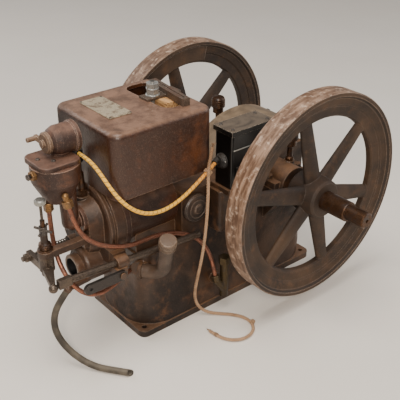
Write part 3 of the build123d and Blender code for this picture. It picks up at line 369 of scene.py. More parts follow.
def dusty_rubber():
    """Perished grey rubber."""
    f = Finish("dusty_rubber")
    cloud, grit = f.noise(30), f.noise(700, 2)
    skin = f.mix(cloud.between(0.35, 0.7), tone(56, 50, 43), tone(96, 87, 74))
    skin = f.mix(grit.between(0.5, 0.8) * 0.5, skin, tone(48, 40, 34))
    skin = f.mix(f.upward().between(0.3, 1.0) * 0.35, skin, tone(128, 117, 102))
    return f.done(skin, 0.7, height=grit, depth=0.0003)


hose_line = laid("hose_line", HOSE, fineness=14)
hose = spun("rubber_hose", hose_line, HOSE_ACROSS / 2, sides=18, bore=HOSE_BORE, slant=HOSE_SLANT)
wear(hose, dusty_rubber(), "engine")
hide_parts("drain_hose")


# The rope: three strands of tan fibre, hitched round the ignition lead and hanging to the floor.
# Both its ends are frayed, and fine cord is whipped round the one on the floor.
ROPE = [(-0.0845, -0.1196, 0.392), (-0.094, -0.119, 0.3553), (-0.0944, -0.1196, 0.3247),
        (-0.0953, -0.1204, 0.2918), (-0.0975, -0.1211, 0.2567), (-0.1009, -0.1213, 0.2202),
        (-0.1046, -0.1204, 0.1843), (-0.1082, -0.1175, 0.1495), (-0.1117, -0.1126, 0.1152),
        (-0.1147, -0.1068, 0.0821), (-0.1151, -0.1027, 0.0512), (-0.1091, -0.1049, 0.0249),
        (-0.0937, -0.117, 0.0071), (-0.073, -0.1354, 0.0045), (-0.0526, -0.1563, 0.0045),
        (-0.04, -0.1792, 0.0045), (-0.0402, -0.2026, 0.0045), (-0.0532, -0.2215, 0.0045),
        (-0.0749, -0.2306, 0.0045), (-0.0978, -0.2269, 0.0045), (-0.1156, -0.2117, 0.0045),
        (-0.1243, -0.1896, 0.0045), (-0.126, -0.1652, 0.0045)]
ROPE_LENGTH, ROPE_ACROSS, STRANDS = 0.6402, 0.0072, 3
ROPE_LAY, KNOT_LAY, HAIR_ALONG, HAIR_ROUND = 0.017, 0.012, 900, 44
HITCH, HITCH_AXIS = Vector((-0.0905, -0.1128, 0.3383)), Vector((0.916, 0.18, 0.36))
HITCH_BACK, ABOVE_HITCH = 0.003, (0.34, 0.362)
FLOOR_KNOT, FLOOR_KNOT_AXIS = (-0.0398, -0.199, 0.0063), (0.03, -1, 0)


def fibre():
    """Tan natural fibre, each strand with fine hairs along its lay, browner above the hitch."""
    f = Finish("tan_fibre")
    u, v = f.cordwise()
    hairs = (u * HAIR_ALONG + v * HAIR_ROUND).sine() * 0.5 + f.noise(900, 3)
    skin = f.mix(hairs.between(0.0, 1.0), tone(130, 98, 70), tone(212, 174, 140))
    skin = f.mix(f.noise(40).between(0.5, 0.75) * 0.5, skin, tone(104, 80, 62))
    skin = f.mix(f.along("Z").between(*ABOVE_HITCH) * 0.6, skin, tone(110, 78, 52))
    return f.done(skin, 0.9, height=hairs, depth=0.0004)


def winding(centre, axis, radius, pitch, turns, fineness=18):
    """The points of a helix wound round an axis, from a centre onwards."""
    onward = Vector(axis).normalized()
    side = onward.orthogonal().normalized()
    lift = onward.cross(side)
    steps = int(turns * fineness)
    return [Vector(centre) + onward * (pitch * k / fineness)
            + (side * cos(2 * pi * k / fineness) + lift * sin(2 * pi * k / fineness)) * radius
            for k in range(steps + 1)]


def merged(name, parts):
    """Several loose meshes as one object."""
    bm = bmesh.new()
    for part in parts:
        bm.from_mesh(part.data)
        bpy.data.objects.remove(part)
    mesh = bpy.data.meshes.new(name)
    bm.to_mesh(mesh)
    bm.free()
    return link(bpy.data.objects.new(name, mesh))


HAIR_TURN, HAIR_R = 2.4, 0.0005


def frayed(name, root, way, spread, length, hairs):
    """Loose hairs that open out from a rope's end."""
    way = Vector(way).normalized()
    side, parts = way.orthogonal().normalized(), []
    lift = way.cross(side)
    for k in range(hairs):
        turn, share = HAIR_TURN * k, (k + 1) / hairs
        out = (side * cos(turn) + lift * sin(turn)) * spread * share
        line = [Vector(root) + way * length * (s - 0.15) * (0.7 + 0.3 * cos(5.0 * k)) + out * s * s
                for s in (0.0, 0.35, 0.7, 1.0)]
        parts.append(spun(name, line, HAIR_R, sides=5))
    return merged(name, parts)


rope_line = laid("rope_line", ROPE, fineness=26)
tan_fibre = fibre()
rope = spun("laid_rope", rope_line, ROPE_ACROSS / 2, sides=9, strands=STRANDS, pitch=ROPE_LAY)
wear(rope, tan_fibre, "engine")
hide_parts("rope")
hitch_line = winding(HITCH - HITCH_AXIS * HITCH_BACK, HITCH_AXIS,
                     radius=0.0064, pitch=0.0046, turns=1.7)
hitch = spun("rope_hitch", hitch_line, 0.0024, sides=8, strands=STRANDS, pitch=KNOT_LAY)
knot_line = winding(FLOOR_KNOT, FLOOR_KNOT_AXIS, radius=0.0036, pitch=0.0036, turns=1.8)
floor_knot = spun("rope_floor_knot", knot_line, 0.0025, sides=8, strands=STRANDS, pitch=KNOT_LAY)
top_fray = frayed("rope_top_fray", ROPE[0], Vector(ROPE[0]) - Vector(ROPE[1]),
                  spread=0.006, length=0.011, hairs=18)
floor_fray = frayed("rope_floor_fray", ROPE[-1], Vector(ROPE[-1]) - Vector(ROPE[-2]),
                    spread=0.002, length=0.009, hairs=12)
whipped = rope_line[-16]
cord_line = winding(whipped, rope_line[-1] - whipped, ROPE_ACROSS / 2, pitch=0.0009, turns=8)
whipping = spun("rope_whipping", cord_line, 0.0005, sides=6)
for piece in (hitch, floor_knot, top_fray, floor_fray, whipping):
    wear(piece, tan_fibre, "engine")


# The base and crankcase: one iron casting, dark with rust and old oil, with dust on its ledges.
# The bearing caps, the magneto's bracket and the push rod's guide are bolted on, of like iron.


def iron(name, deep, skin, rust, pale, dust, gloss, worn=0.6, settled=0.7, grimed=None):
    """Old cast iron: rust over the casting's grain, dust on what looks up, rubbed edges."""
    f = Finish(name)
    patches, blotches = f.noise(7, 5, 0.62, twist=0.4), f.noise(38, 5, 0.66)
    grain = f.noise(480, 3, 0.7)
    pits = f.add("ShaderNodeTexVoronoi", {}, {"Vector": f.place, "Scale": 240.0}, "Distance")
    edge, rounded = f.edges(0.003)
    colour = f.mix(patches.between(0.36, 0.66), deep, skin)
    colour = f.mix(blotches.between(0.5, 0.72) * 0.7, colour, rust)
    colour = f.mix(grain.between(0.52, 0.8) * 0.2, colour, pale)
    lying = f.upward().between(0.3, 0.95) * (0.4 + 0.6 * blotches.between(0.3, 0.65)) * settled
    colour = f.mix(lying, colour, dust)
    colour = f.mix(edge * grain.between(0.32, 0.6) * worn, colour, pale)
    if grimed:
        colour = grimed(f, colour)
    rough = 0.74 - gloss * patches.between(0.3, 0.6) - edge * 0.2
    relief = grain * 0.5 + pits * 0.35 + blotches * 0.8
    return f.done(colour, rough, height=relief, depth=0.0007, normal=rounded)


base_iron = iron(
    "base_iron", deep=tone(30, 20, 14), skin=tone(70, 49, 34), rust=tone(92, 61, 38),
    pale=tone(136, 108, 84), dust=tone(118, 87, 64), settled=0.8, gloss=0.36)
for name in ("engine_base", "near_bearing_cap", "far_bearing_cap", "magneto_bracket",
             "push_rod_guide"):
    wear(node[name], base_iron)


# The hopper: a square cast tank over the cylinder, browner than the base, its paint worn off.
# Its top is dusty, with an open mouth.
BLOOM_X = (-0.19, -0.09)


def bloomed(f, colour):
    """A bloom of orange rust towards the magneto's end, and faint old stains run down the sides."""
    runs = f.noise(24, 4, 0.6, (1, 1, 0.14)).between(0.52, 0.72)
    colour = f.mix(runs * 0.4, colour, tone(40, 26, 20))
    bloom = f.noise(15, 4).between(0.4, 0.66) * f.along("X").between(*BLOOM_X)
    bloom = bloom * (1.0 - f.upward().between(0.2, 0.7))
    return f.mix(bloom * 0.55, colour, tone(110, 65, 37))


hopper_iron = iron(
    "hopper_iron", deep=tone(34, 20, 14), skin=tone(56, 34, 23), rust=tone(80, 47, 28),
    pale=tone(188, 158, 138), dust=tone(132, 102, 84), worn=0.85, settled=0.85, gloss=0.42,
    grimed=bloomed)
wear(node["water_hopper"], hopper_iron)


# The cylinder head: a ringed drum with a jacket, and a boss for the exhaust below.
# The outlet's lip is rubbed pale, and its bore is black with soot. The rocker's bracket is of
# the same iron.
EXHAUST = Vector((-0.349, -0.020, 0.1805))
OUTLET_FACE, OUTLET_DEEP = (0.3485, 0.3493), (0.30, 0.315)
OUTLET_LIP_R, OUTLET_BORE_R = (0.0265, 0.028), (0.0191, 0.0197)


def sooted(f, colour):
    """A pale rubbed lip round the outlet and soot in its bore."""
    reach, back = f.reach(EXHAUST, "X"), f.along("X")
    face = (0.0 - back).between(*OUTLET_FACE) * (1.0 - reach.between(*OUTLET_LIP_R))
    colour = f.mix(face * 0.4, colour, tone(126, 106, 90))
    bore = (1.0 - reach.between(*OUTLET_BORE_R)) * (0.0 - back).between(*OUTLET_DEEP)
    return f.mix(bore, colour, tone(16, 13, 12))


head_iron = iron(
    "head_iron", deep=tone(32, 22, 16), skin=tone(64, 44, 31), rust=tone(90, 59, 38),
    pale=tone(148, 120, 98), dust=tone(114, 88, 70), worn=0.75, gloss=0.34, grimed=sooted)
wear(node["cylinder_head"], head_iron)
wear(node["rocker_bracket"], head_iron)


# The mixer: a bowl, lid and air barrel of cast iron that has gone an even brown.
# Two slotted screws hold the lid down on the bowl.
LID_TOP = 0.4202
mixer_iron = iron(
    "mixer_iron", deep=tone(42, 25, 18), skin=tone(76, 48, 34), rust=tone(92, 58, 38),
    pale=tone(194, 160, 140), dust=tone(124, 92, 76), worn=0.9, settled=0.6, gloss=0.42)
for name in ("mixer_bowl", "mixer_lid", "air_barrel"):
    wear(node[name], mixer_iron)


METAL = 0.85


def machined(name):
    """A finish begun, with its cloudy stains, turning marks, edges and rounded normal."""
    f = Finish(name)
    return f, f.noise(60, 5, 0.65), f.noise(900, 2), *f.edges(0.0012)


def steel(name, dark, light, stain, rough, share):
    """Machined metal with fine turning marks, and brown stains over a share of it."""
    f, cloud, fine, edge, rounded = machined(name)
    stained = cloud.between(0.42, 0.62) * share
    colour = f.mix(fine.between(0.3, 0.7), dark, light)
    colour = f.mix(stained, colour, stain)
    colour = f.mix(edge * 0.6, colour, light)
    return f.done(colour, rough + cloud * 0.25 - edge * 0.1, METAL - stained * METAL,
                  height=fine * 0.4 + cloud, depth=0.0002, normal=rounded)


dark_steel = steel("dark_steel", dark=tone(44, 40, 38), light=tone(120, 112, 106),
                   stain=tone(42, 33, 28), rough=0.38, share=0.7)


def planted(tree, kind, settings=None, inputs=None, output=0):
    """Any node of a geometry tree, and the output that is read from it."""
    made = tree.nodes.new(kind)
    for key, value in (settings or {}).items():
        setattr(made, key, value)
    for key, value in (inputs or {}).items():
        if isinstance(value, bpy.types.NodeSocket):
            tree.links.new(value, made.inputs[key])
        else:
            made.inputs[key].default_value = value
    return made.outputs[output]


def started(name, sizes):
    """A geometry tree with named sizes: its group, and its inputs by name."""
    tree = bpy.data.node_groups.new(name, "GeometryNodeTree")
    sockets = {"Points": "Geometry", **sizes, "Surface": "Material"}
    for label, kind in sockets.items():
        tree.interface.new_socket(label, in_out="INPUT", socket_type="NodeSocket" + kind)
    tree.interface.new_socket("Made", in_out="OUTPUT", socket_type="NodeSocketGeometry")
    given = tree.nodes.new("NodeGroupInput").outputs
    return tree, {label: given[label] for label in sockets}


def ended(tree, stood, surface):
    """Closes a tree: its instances are made real and get their surface."""
    real = planted(tree, "GeometryNodeRealizeInstances", {}, {0: stood})
    faced = planted(tree, "GeometryNodeSetMaterial", {}, {"Geometry": real, "Material": surface})
    tree.links.new(faced, tree.nodes.new("NodeGroupOutput").inputs[0])
    return tree


HEAD_SIDES, HEAD_TAPER, SLOT_LONG = 20, 0.82, 3.0


def headed():
    """Slotted heads, one on each point along its facing, turned at random from a fixed seed."""
    tree, given = started("slotted_heads", {
        "Radius": "Float", "Height": "Float", "Slot": "Float", "Seed": "Int"})
    radius, height = given["Radius"], given["Height"]
    top = planted(tree, "ShaderNodeMath", {"operation": "MULTIPLY"}, {0: radius, 1: HEAD_TAPER})
    head = planted(tree, "GeometryNodeMeshCone", {}, {
        "Vertices": HEAD_SIDES, "Radius Top": top, "Radius Bottom": radius, "Depth": height})
    long = planted(tree, "ShaderNodeMath", {"operation": "MULTIPLY"}, {0: radius, 1: SLOT_LONG})
    size = planted(tree, "ShaderNodeCombineXYZ", {}, {0: long, 1: given["Slot"], 2: height})
    lift = planted(tree, "ShaderNodeCombineXYZ", {}, {2: height})
    bar = planted(tree, "GeometryNodeMeshCube", {}, {"Size": size})
    bar = planted(tree, "GeometryNodeTransform", {}, {"Geometry": bar, "Translation": lift})
    cut = planted(tree, "GeometryNodeMeshBoolean", {"operation": "DIFFERENCE", "solver": "EXACT"},
                  {0: head, 1: bar})
    facing = planted(tree, "GeometryNodeInputNamedAttribute", {"data_type": "FLOAT_VECTOR"},
                     {"Name": "facing"})
    stand = planted(tree, "FunctionNodeAlignRotationToVector", {"axis": "Z"}, {"Vector": facing})
    turn = planted(tree, "FunctionNodeRandomValue", {"data_type": "FLOAT_VECTOR"},
                   {0: (0, 0, 0), 1: (0, 0, pi), "Seed": given["Seed"]})
    stood = planted(tree, "GeometryNodeInstanceOnPoints", {}, {
        "Points": given["Points"], "Instance": cut, "Rotation": stand})
    stood = planted(tree, "GeometryNodeRotateInstances", {}, {"Instances": stood, "Rotation": turn})
    return ended(tree, stood, given["Surface"])


def grown(name, tree, surface, sizes, points=()):
    """The plain mesh that a tree makes from its sizes and from points with their facings."""
    mesh = bpy.data.meshes.new(name)
    mesh.from_pydata([spot for spot, _ in points], [], [])
    facings = mesh.attributes.new("facing", "FLOAT_VECTOR", "POINT")
    for facing, (_, way) in zip(facings.data, points):
        facing.vector = way
    piece = link(bpy.data.objects.new(name, mesh))
    modifier = piece.modifiers.new("grown", "NODES")
    modifier.node_group = tree
    for item in tree.interface.items_tree:
        if item.name in sizes:
            modifier[item.identifier] = sizes[item.name]
        elif item.name == "Surface":
            modifier[item.identifier] = surface
    ready = piece.evaluated_get(bpy.context.evaluated_depsgraph_get())
    made = bpy.data.meshes.new_from_object(ready)
    piece.modifiers.clear()
    piece.data = made
    return piece


slotted = headed()
SLOT_SHARE, FIRST_SEED, UP = 0.32, 3, (0, 0, 1)


def screws(name, surface, radius, height, places):
    """Slotted screws of one size on the engine, each a place and the way that it faces."""
    sizes = {"Radius": radius, "Height": height, "Slot": radius * SLOT_SHARE,
             "Seed": len(places) + FIRST_SEED}
    piece = grown(name, slotted, surface, sizes, places)
    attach(piece, "engine")


screws("lid_screws", dark_steel, radius=0.0042, height=0.0022,
       places=[((-0.373, -0.0345, LID_TOP), UP), ((-0.392, -0.013, LID_TOP), UP)])


# The choke, the fittings and the upright needle valve: brass gone brown, under a zinc thumb nut.
# The thumb nut and the cock turn on the stem, and the choke turns on the barrel's end.
THUMB_NUT, NUT_R, NUT_TALL, NUT_RIDGES = (-0.410, -0.040, 0.355), 0.0099, 0.0058, 30
NUT_FOOT, RIDGE_R, RIDGE_SIDES = (0.3495, 0.3502), 0.0006, 6
zinc = steel("dull_zinc", dark=tone(138, 136, 130), light=tone(200, 198, 192),
             stain=tone(104, 92, 78), rough=0.3, share=0.4)
oily_steel = steel("oily_steel", dark=tone(40, 24, 15), light=tone(106, 78, 58),
                   stain=tone(34, 20, 12), rough=0.24, share=0.9)
brass = steel("tarnished_brass", dark=tone(86, 62, 40), light=tone(168, 128, 84),
              stain=tone(64, 44, 30), rough=0.3, share=0.75)
tan_casting = iron(
    "tan_casting", deep=tone(78, 58, 44), skin=tone(124, 99, 79), rust=tone(90, 64, 46),
    pale=tone(196, 168, 142), dust=tone(140, 114, 94), worn=0.9, settled=0.5, gloss=0.3)


def ridged():
    """Upright ridges in a ring round Z: a knurl."""
    tree, given = started("knurl", {
        "Count": "Int", "Radius": "Float", "Ridge": "Float", "Tall": "Float"})
    ring = planted(tree, "GeometryNodeMeshCircle", {}, {
        "Vertices": given["Count"], "Radius": given["Radius"]})
    ridge = planted(tree, "GeometryNodeMeshCylinder", {}, {
        "Vertices": RIDGE_SIDES, "Radius": given["Ridge"], "Depth": given["Tall"]})
    stood = planted(tree, "GeometryNodeInstanceOnPoints", {}, {"Points": ring, "Instance": ridge})
    return ended(tree, stood, given["Surface"])


knurl = ridged()


def knurled(name, surface, body, centre, axis, radius, tall, count):
    """A knurl round a turned piece: its ridges stand along the axis about the centre."""
    sizes = {"Count": count, "Radius": radius, "Ridge": RIDGE_R, "Tall": tall}
    piece = grown(name, knurl, surface, sizes)
    turn = Vector(UP).rotation_difference(Vector(axis)).to_matrix().to_4x4()
    piece.data.transform(Matrix.Translation(centre) @ turn)
    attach(piece, body)


def stem_steel():
    """The needle's dark stem under its bright thumb nut."""
    f, cloud, fine, edge, rounded = machined("stem_and_nut")
    nut = f.along("Z").between(*NUT_FOOT)
    bright = f.mix(fine.between(0.3, 0.7), tone(112, 110, 104), tone(172, 170, 164))
    dull = f.mix(fine.between(0.3, 0.7), tone(48, 42, 38), tone(104, 94, 84))
    colour = f.mix(nut, dull, f.mix(cloud.between(0.5, 0.7) * 0.3, bright, tone(120, 104, 86)))
    return f.done(f.mix(edge * 0.5, colour, tone(220, 214, 206)), 0.36 + cloud * 0.2, 0.8,
                  height=fine * 0.4 + cloud, depth=0.0002, normal=rounded)


wear(node["bowl_fittings"], brass)
wear(node["choke_plate"], tan_casting)
wear(node["needle_valve"], stem_steel())
wear(node["fuel_cock"], dark_steel)
wear(node["gland_stack"], oily_steel)
knurled("thumb_nut_knurl", zinc, "needle", THUMB_NUT, UP,
        radius=NUT_R, tall=NUT_TALL, count=NUT_RIDGES)


def revolved(name, profile, centre, axis, sides=40, smooth=True):
    """A solid turned from a closed profile of distances along and out from an axis."""
    onward = Vector(axis).normalized()
    side = onward.orthogonal().normalized()
    lift = onward.cross(side)
    bm = bmesh.new()
    rings = []
    for k in range(sides):
        out = side * cos(2 * pi * k / sides) + lift * sin(2 * pi * k / sides)
        rings.append([bm.verts.new(Vector(centre) + onward * far + out * across)
                      for far, across in profile])
    for k in range(sides):
        here, after = rings[k], rings[(k + 1) % sides]
        for i in range(len(profile)):
            n = (i + 1) % len(profile)
            bm.faces.new((here[i], here[n], after[n], after[i])).smooth = smooth
    bmesh.ops.remove_doubles(bm, verts=bm.verts, dist=1e-6)
    for edge in [e for e in bm.edges if not e.link_faces]:
        bm.edges.remove(edge)
    bmesh.ops.recalc_face_normals(bm, faces=bm.faces)
    mesh = bpy.data.meshes.new(name)
    bm.to_mesh(mesh)
    bm.free()
    return link(bpy.data.objects.new(name, mesh))


BOWL_HEART, PLUG_WAY = (-0.365, -0.022, 0.4015), (-0.992, -0.126, 0)
PLUG_PROFILE = [(0.0432, 0), (0.0432, 0.0086), (0.0445, 0.0090), (0.0510, 0.0090),
                (0.0522, 0.0082), (0.0522, 0)]
SCREW_PROFILE = [(0.0515, 0), (0.0515, 0.0040), (0.0560, 0.0040), (0.0565, 0.0056),
                 (0.0588, 0.0056), (0.0594, 0.0048), (0.0594, 0)]
bowl_plug = revolved("bowl_plug", PLUG_PROFILE, BOWL_HEART, PLUG_WAY, sides=6, smooth=False)
wear(bowl_plug, brass, "engine")
plug_screw = revolved("bowl_plug_screw", SCREW_PROFILE, BOWL_HEART, PLUG_WAY, sides=24)
wear(plug_screw, dark_steel, "engine")


# The fuel pump and its lines: brass gone olive, and soft copper tube, browned, with a pink
# shine where hands have rubbed it. One line runs to the pump and one to the tank.
olive_brass = steel("olive_brass", dark=tone(50, 42, 31), light=tone(100, 85, 62),
                    stain=tone(42, 32, 24), rough=0.34, share=0.85)
copper = steel("dull_copper", dark=tone(100, 62, 47), light=tone(170, 116, 95),
               stain=tone(66, 43, 33), rough=0.28, share=0.65)
wear(node["fuel_pump"], olive_brass)
for name in ("fuel_line_to_pump", "fuel_line_to_tank"):
    wear(node[name], copper)


# The spark plug and its moulded boot, which the ignition lead runs into.
# Both are dark with oil, and the plug's steel shows only along its edges.


def enamel(name, paint, bare, dust, settled, rough):
    """Paint or moulded rubber, dusty on top and chipped or rubbed at the edges."""
    f = Finish(name)
    cloud, grain = f.noise(26, 5, 0.65), f.noise(380, 3)
    edge, rounded = f.edges(0.0015)
    wiped = f.noise(15, 6, 0.7, twist=0.9).between(0.45, 0.63)
    lying = f.upward().between(0.2, 0.9) * settled * (1.0 - wiped * 0.5)
    lying = lying + cloud.between(0.45, 0.8) * settled * 0.35
    colour = f.mix(lying, paint, dust)
    colour = f.mix(edge * grain.between(0.42, 0.6) * 0.8, colour, bare)
    return f.done(colour, rough + lying * 0.4, height=grain * 0.5 + cloud, depth=0.0003,
                  normal=rounded)


black_rubber = enamel("black_rubber", paint=tone(20, 18, 18), bare=tone(96, 88, 82),
                      dust=tone(84, 72, 62), settled=0.25, rough=0.45)
wear(node["spark_plug"], oily_steel)
wear(node["plug_boot"], black_rubber)


# The flywheels: cast iron on one shaft, their spokes and web left rough and oily at the hub.
# The rim's tread was turned, and is now lightly rusted.
CRANK = Vector((0.115, 0, 0.258))
HUB_OIL, LIP_INNER, LIP_OUTER = (0.035, 0.14), (0.2085, 0.2095), (0.2115, 0.2125)
RIM_RUB, TREAD = (0.175, 0.2), (0.2195, 0.2212)


def wheel_iron():
    """Rough dark cast faces, with painted shade darkening the groove inside the lip, and a tread
    turned smooth.
    """
    f = Finish("wheel_iron")
    patches, blotches = f.noise(9, 5, 0.62), f.noise(44, 5, 0.68)
    grain, flecks = f.noise(520, 3, 0.7), f.noise(90, 5, 0.62)
    edge, rounded = f.edges(0.003)
    reach = f.reach(CRANK, "Y")
    tread = reach.between(*TREAD)
    lip = reach.between(*LIP_INNER) * (1.0 - reach.between(*LIP_OUTER))
    face = f.mix(patches.between(0.36, 0.66), tone(36, 25, 17), tone(70, 51, 35))
    face = f.mix(blotches.between(0.5, 0.74) * 0.6, face, tone(90, 62, 40))
    face = f.mix(grain.between(0.52, 0.8) * 0.25, face, tone(136, 110, 84))
    # Painted shade: the groove inside the lip is coloured darker, as well as cut in by the relief.
    face = f.mix(lip * 0.6, face, tone(30, 23, 19))
    face = f.mix((1.0 - reach.between(*HUB_OIL)) * 0.5, face, tone(28, 18, 12))
    streaks = f.noise(30, 4, 0.6, (1, 4, 1))
    turned = f.mix(streaks.between(0.36, 0.68), tone(92, 67, 50), tone(150, 121, 100))
    turned = f.mix(patches.between(0.42, 0.7) * 0.6, turned, tone(82, 61, 49))
    turned = f.mix(flecks.between(0.52, 0.72) * 0.6, turned, tone(214, 189, 168))
    colour = f.mix(tread, face, turned)
    rubbed = edge * grain.between(0.3, 0.6) * (0.12 + reach.between(*RIM_RUB) * 0.6)
    colour = f.mix(rubbed, colour, tone(186, 162, 144))
    rough = 0.7 - edge * 0.2 - tread * 0.12
    relief = grain * 0.5 + blotches * 0.8 + lip * -0.8
    return f.done(colour, rough, height=relief, depth=0.0006, normal=rounded)


spoked = wheel_iron()
for name in ("near_flywheel", "far_flywheel"):
    wear(node[name], spoked)
wear(node["crankshaft"], oily_steel)


# The grease cups: turned steel caps with raised bands, dark with grease.
# One is screwed down on each bearing.
CUP_X, CUP_Y, CUP_Z = 0.133, 0.1155, 0.2973
CUP_BANDS = (0.0488, 0.0532, 0.0576, 0.062)


def bands(name, material, centre, axis, inner, outer, half, places):
    """Raised bands round a turned piece, at distances along its axis."""
    rims = []
    for far in places:
        profile = [(far - half, inner), (far - half * 0.5, outer), (far + half * 0.5, outer),
                   (far + half, inner)]
        rims.append(revolved("band", profile, centre, axis))
    wear(merged(name, rims), material, "engine")


for side, name in ((-1, "near_grease_cup"), (1, "far_grease_cup")):
    wear(node[name], oily_steel)
    bands(name + "_bands", oily_steel, (CUP_X, side * CUP_Y, CUP_Z), UP,
          inner=0.0146, outer=0.0159, half=0.0013, places=CUP_BANDS)


# The rocker gear: a steel rocker on its upright pin, the long push rod and the exhaust valve.
# The valve's spring is a coil of round wire between its guide and its collar.
VALVE_Y, VALVE_Z, VALVE_LIFT = 0.006, 0.222, 0.006
SPRING_START, SPRING_END = -0.3388, -0.3922
SPRING_ACROSS, SPRING_WIRE, SPRING_TURNS = 0.0172, 0.0024, 9
worn_steel = steel("worn_steel", dark=tone(50, 41, 35), light=tone(122, 108, 96),
                   stain=tone(42, 31, 24), rough=0.3, share=0.8)
for name in ("rocker_arm", "exhaust_valve", "push_rod"):
    wear(node[name], worn_steel)
coil_line = winding((SPRING_START - SPRING_WIRE / 2, VALVE_Y, VALVE_Z), (-1, 0, 0),
                    SPRING_ACROSS / 2,
                    pitch=(SPRING_START - SPRING_END - SPRING_WIRE) / SPRING_TURNS,
                    turns=SPRING_TURNS, fineness=20)
coil = spun("valve_spring_coil", coil_line, SPRING_WIRE / 2, sides=8)
wear(coil, worn_steel, "engine")
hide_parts("valve_spring")
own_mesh(coil)


# The latch: a flat bar of blackened steel that hangs on a pin.
# The push rod's block has rubbed its edges bright.
black_steel = steel("blackened_steel", dark=tone(24, 22, 22), light=tone(92, 86, 82),
                    stain=tone(32, 27, 24), rough=0.3, share=0.5)
wear(node["latch_bar"], black_steel)


# The magneto: a black enamelled case under a folded sheet cover held by slotted screws.
# Its moulded terminal is ribbed, and a bright wire clip lies across the case's front.
COVER_TOP, COVER_SCREW_X, COVER_SCREW_Y = 0.414, (-0.036, 0.054), (-0.122, -0.087)
SUNK = 0.0001
black_enamel = enamel("black_enamel", paint=tone(15, 14, 14), bare=tone(104, 94, 86),
                      dust=tone(76, 66, 58), settled=0.28, rough=0.28)
dusty_black = enamel("dusty_black", paint=tone(20, 18, 17), bare=tone(206, 190, 172),
                     dust=tone(92, 80, 68), settled=0.85, rough=0.35)
wear(node["magneto_case"], black_enamel)
wear(node["magneto_terminal"], black_rubber)
wear(node["magneto_cover"], dusty_black)
screws("cover_screws", dark_steel, radius=0.0038, height=0.0018,
       places=[((x, y, COVER_TOP - SUNK), UP) for x in COVER_SCREW_X for y in COVER_SCREW_Y])

TERMINAL, TERMINAL_WAY, TERMINAL_LONG = (-0.0443, -0.104, 0.346), (-1, 0, 0), 0.0049
RIBS, SCREW_RING, SCREW_TURNS = (0.0010, 0.0027, 0.0044), 0.0132, (0.9, 2.9, 5.0)
bands("terminal_ribs", black_rubber, TERMINAL, TERMINAL_WAY,
      inner=0.0145, outer=0.0159, half=0.0007, places=RIBS)
x, y, z = TERMINAL
screws("terminal_screws", zinc, radius=0.0022, height=0.0012, places=[
    ((x - TERMINAL_LONG, y + SCREW_RING * cos(turn), z + SCREW_RING * sin(turn)), TERMINAL_WAY)
    for turn in SCREW_TURNS])

CLIP_Y, CLIP_Z, CLIP_R = -0.1309, 0.3738, 0.0013
CLIP = [(-0.0395, -0.1292), (-0.0385, -0.1304), (-0.037, CLIP_Y), (-0.010, CLIP_Y),
        (0.020, CLIP_Y), (0.051, CLIP_Y), (0.0525, -0.1304), (0.0535, -0.1292)]
clip = spun("case_clip", [Vector((x, y, CLIP_Z)) for x, y in CLIP], CLIP_R, sides=10)
wear(clip, zinc, "engine")


# The side cover: a turned iron disc on the crankcase's side.
# Its rim has a bead, which is rubbed pale.
COVER_HEART, COVER_WAY = (-0.092, -0.0743, 0.246), (0, -1, 0)
BEAD_OUT, BEAD_RING, BEAD_R, BEAD_SIDES = 0.0125, 0.0195, 0.0012, 8
cover_iron = iron(
    "cover_iron", deep=tone(30, 24, 21), skin=tone(52, 41, 35), rust=tone(70, 52, 40),
    pale=tone(156, 134, 118), dust=tone(96, 78, 66), worn=0.95, gloss=0.35)
wear(node["side_cover"], cover_iron)
turns = [2 * pi * k / BEAD_SIDES for k in range(BEAD_SIDES)]
bead = revolved("side_cover_bead", [
    (BEAD_OUT + BEAD_R * sin(turn), BEAD_RING + BEAD_R * cos(turn)) for turn in turns],
    COVER_HEART, COVER_WAY)
wear(bead, cover_iron, "engine")


# The filler pipe and its cap: brown iron, the pipe screwed into the crankcase.
# The cap turns on the pipe's end, by its knurled edge.
CAP_AXIS = Vector((-0.116703, -0.335902, 0.934639))
CAP_FOOT, CAP_KNURL_UP = Vector((-0.2105, -0.1411, 0.2391)), 0.0025
CAP_R, CAP_TALL, CAP_RIDGES = 0.0171, 0.009, 44
cap_iron = iron(
    "cap_iron", deep=tone(66, 52, 40), skin=tone(110, 87, 69), rust=tone(94, 69, 50),
    pale=tone(190, 166, 144), dust=tone(94, 78, 66), worn=0.9, gloss=0.35)
pipe_iron = iron(
    "pipe_iron", deep=tone(50, 39, 32), skin=tone(88, 70, 57), rust=tone(96, 71, 54),
    pale=tone(160, 138, 120), dust=tone(98, 80, 67), worn=0.7, gloss=0.35)
wear(node["filler_pipe"], pipe_iron)
wear(node["filler_cap"], cap_iron)
knurled("cap_knurl", cap_iron, "cap", CAP_FOOT + CAP_AXIS * CAP_KNURL_UP, CAP_AXIS,
        radius=CAP_R, tall=CAP_TALL, count=CAP_RIDGES)


# The clamp across the hopper's mouth: a rusty grooved bar and strap, drawn down on a wood block.
# Its bolt and nuts are bright zinc, and the bolt's thread shows between and above them.
BOLT_X, BOLT_Y, BOLT_END, BOLT_EDGE = -0.130, 0.005, (0.4951, 0.4954), (0.0052, 0.0056)
THREAD_R, THREAD_PITCH, THREAD_RIDGE = 0.0049, 0.0011, 0.0004
THREADS = ((0.4834, 1), (0.4953, 2))
bar_steel = steel("rusty_bar", dark=tone(52, 44, 38), light=tone(140, 124, 110),
                  stain=tone(74, 50, 36), rough=0.4, share=0.9)
wear(node["clamp_bar"], bar_steel)


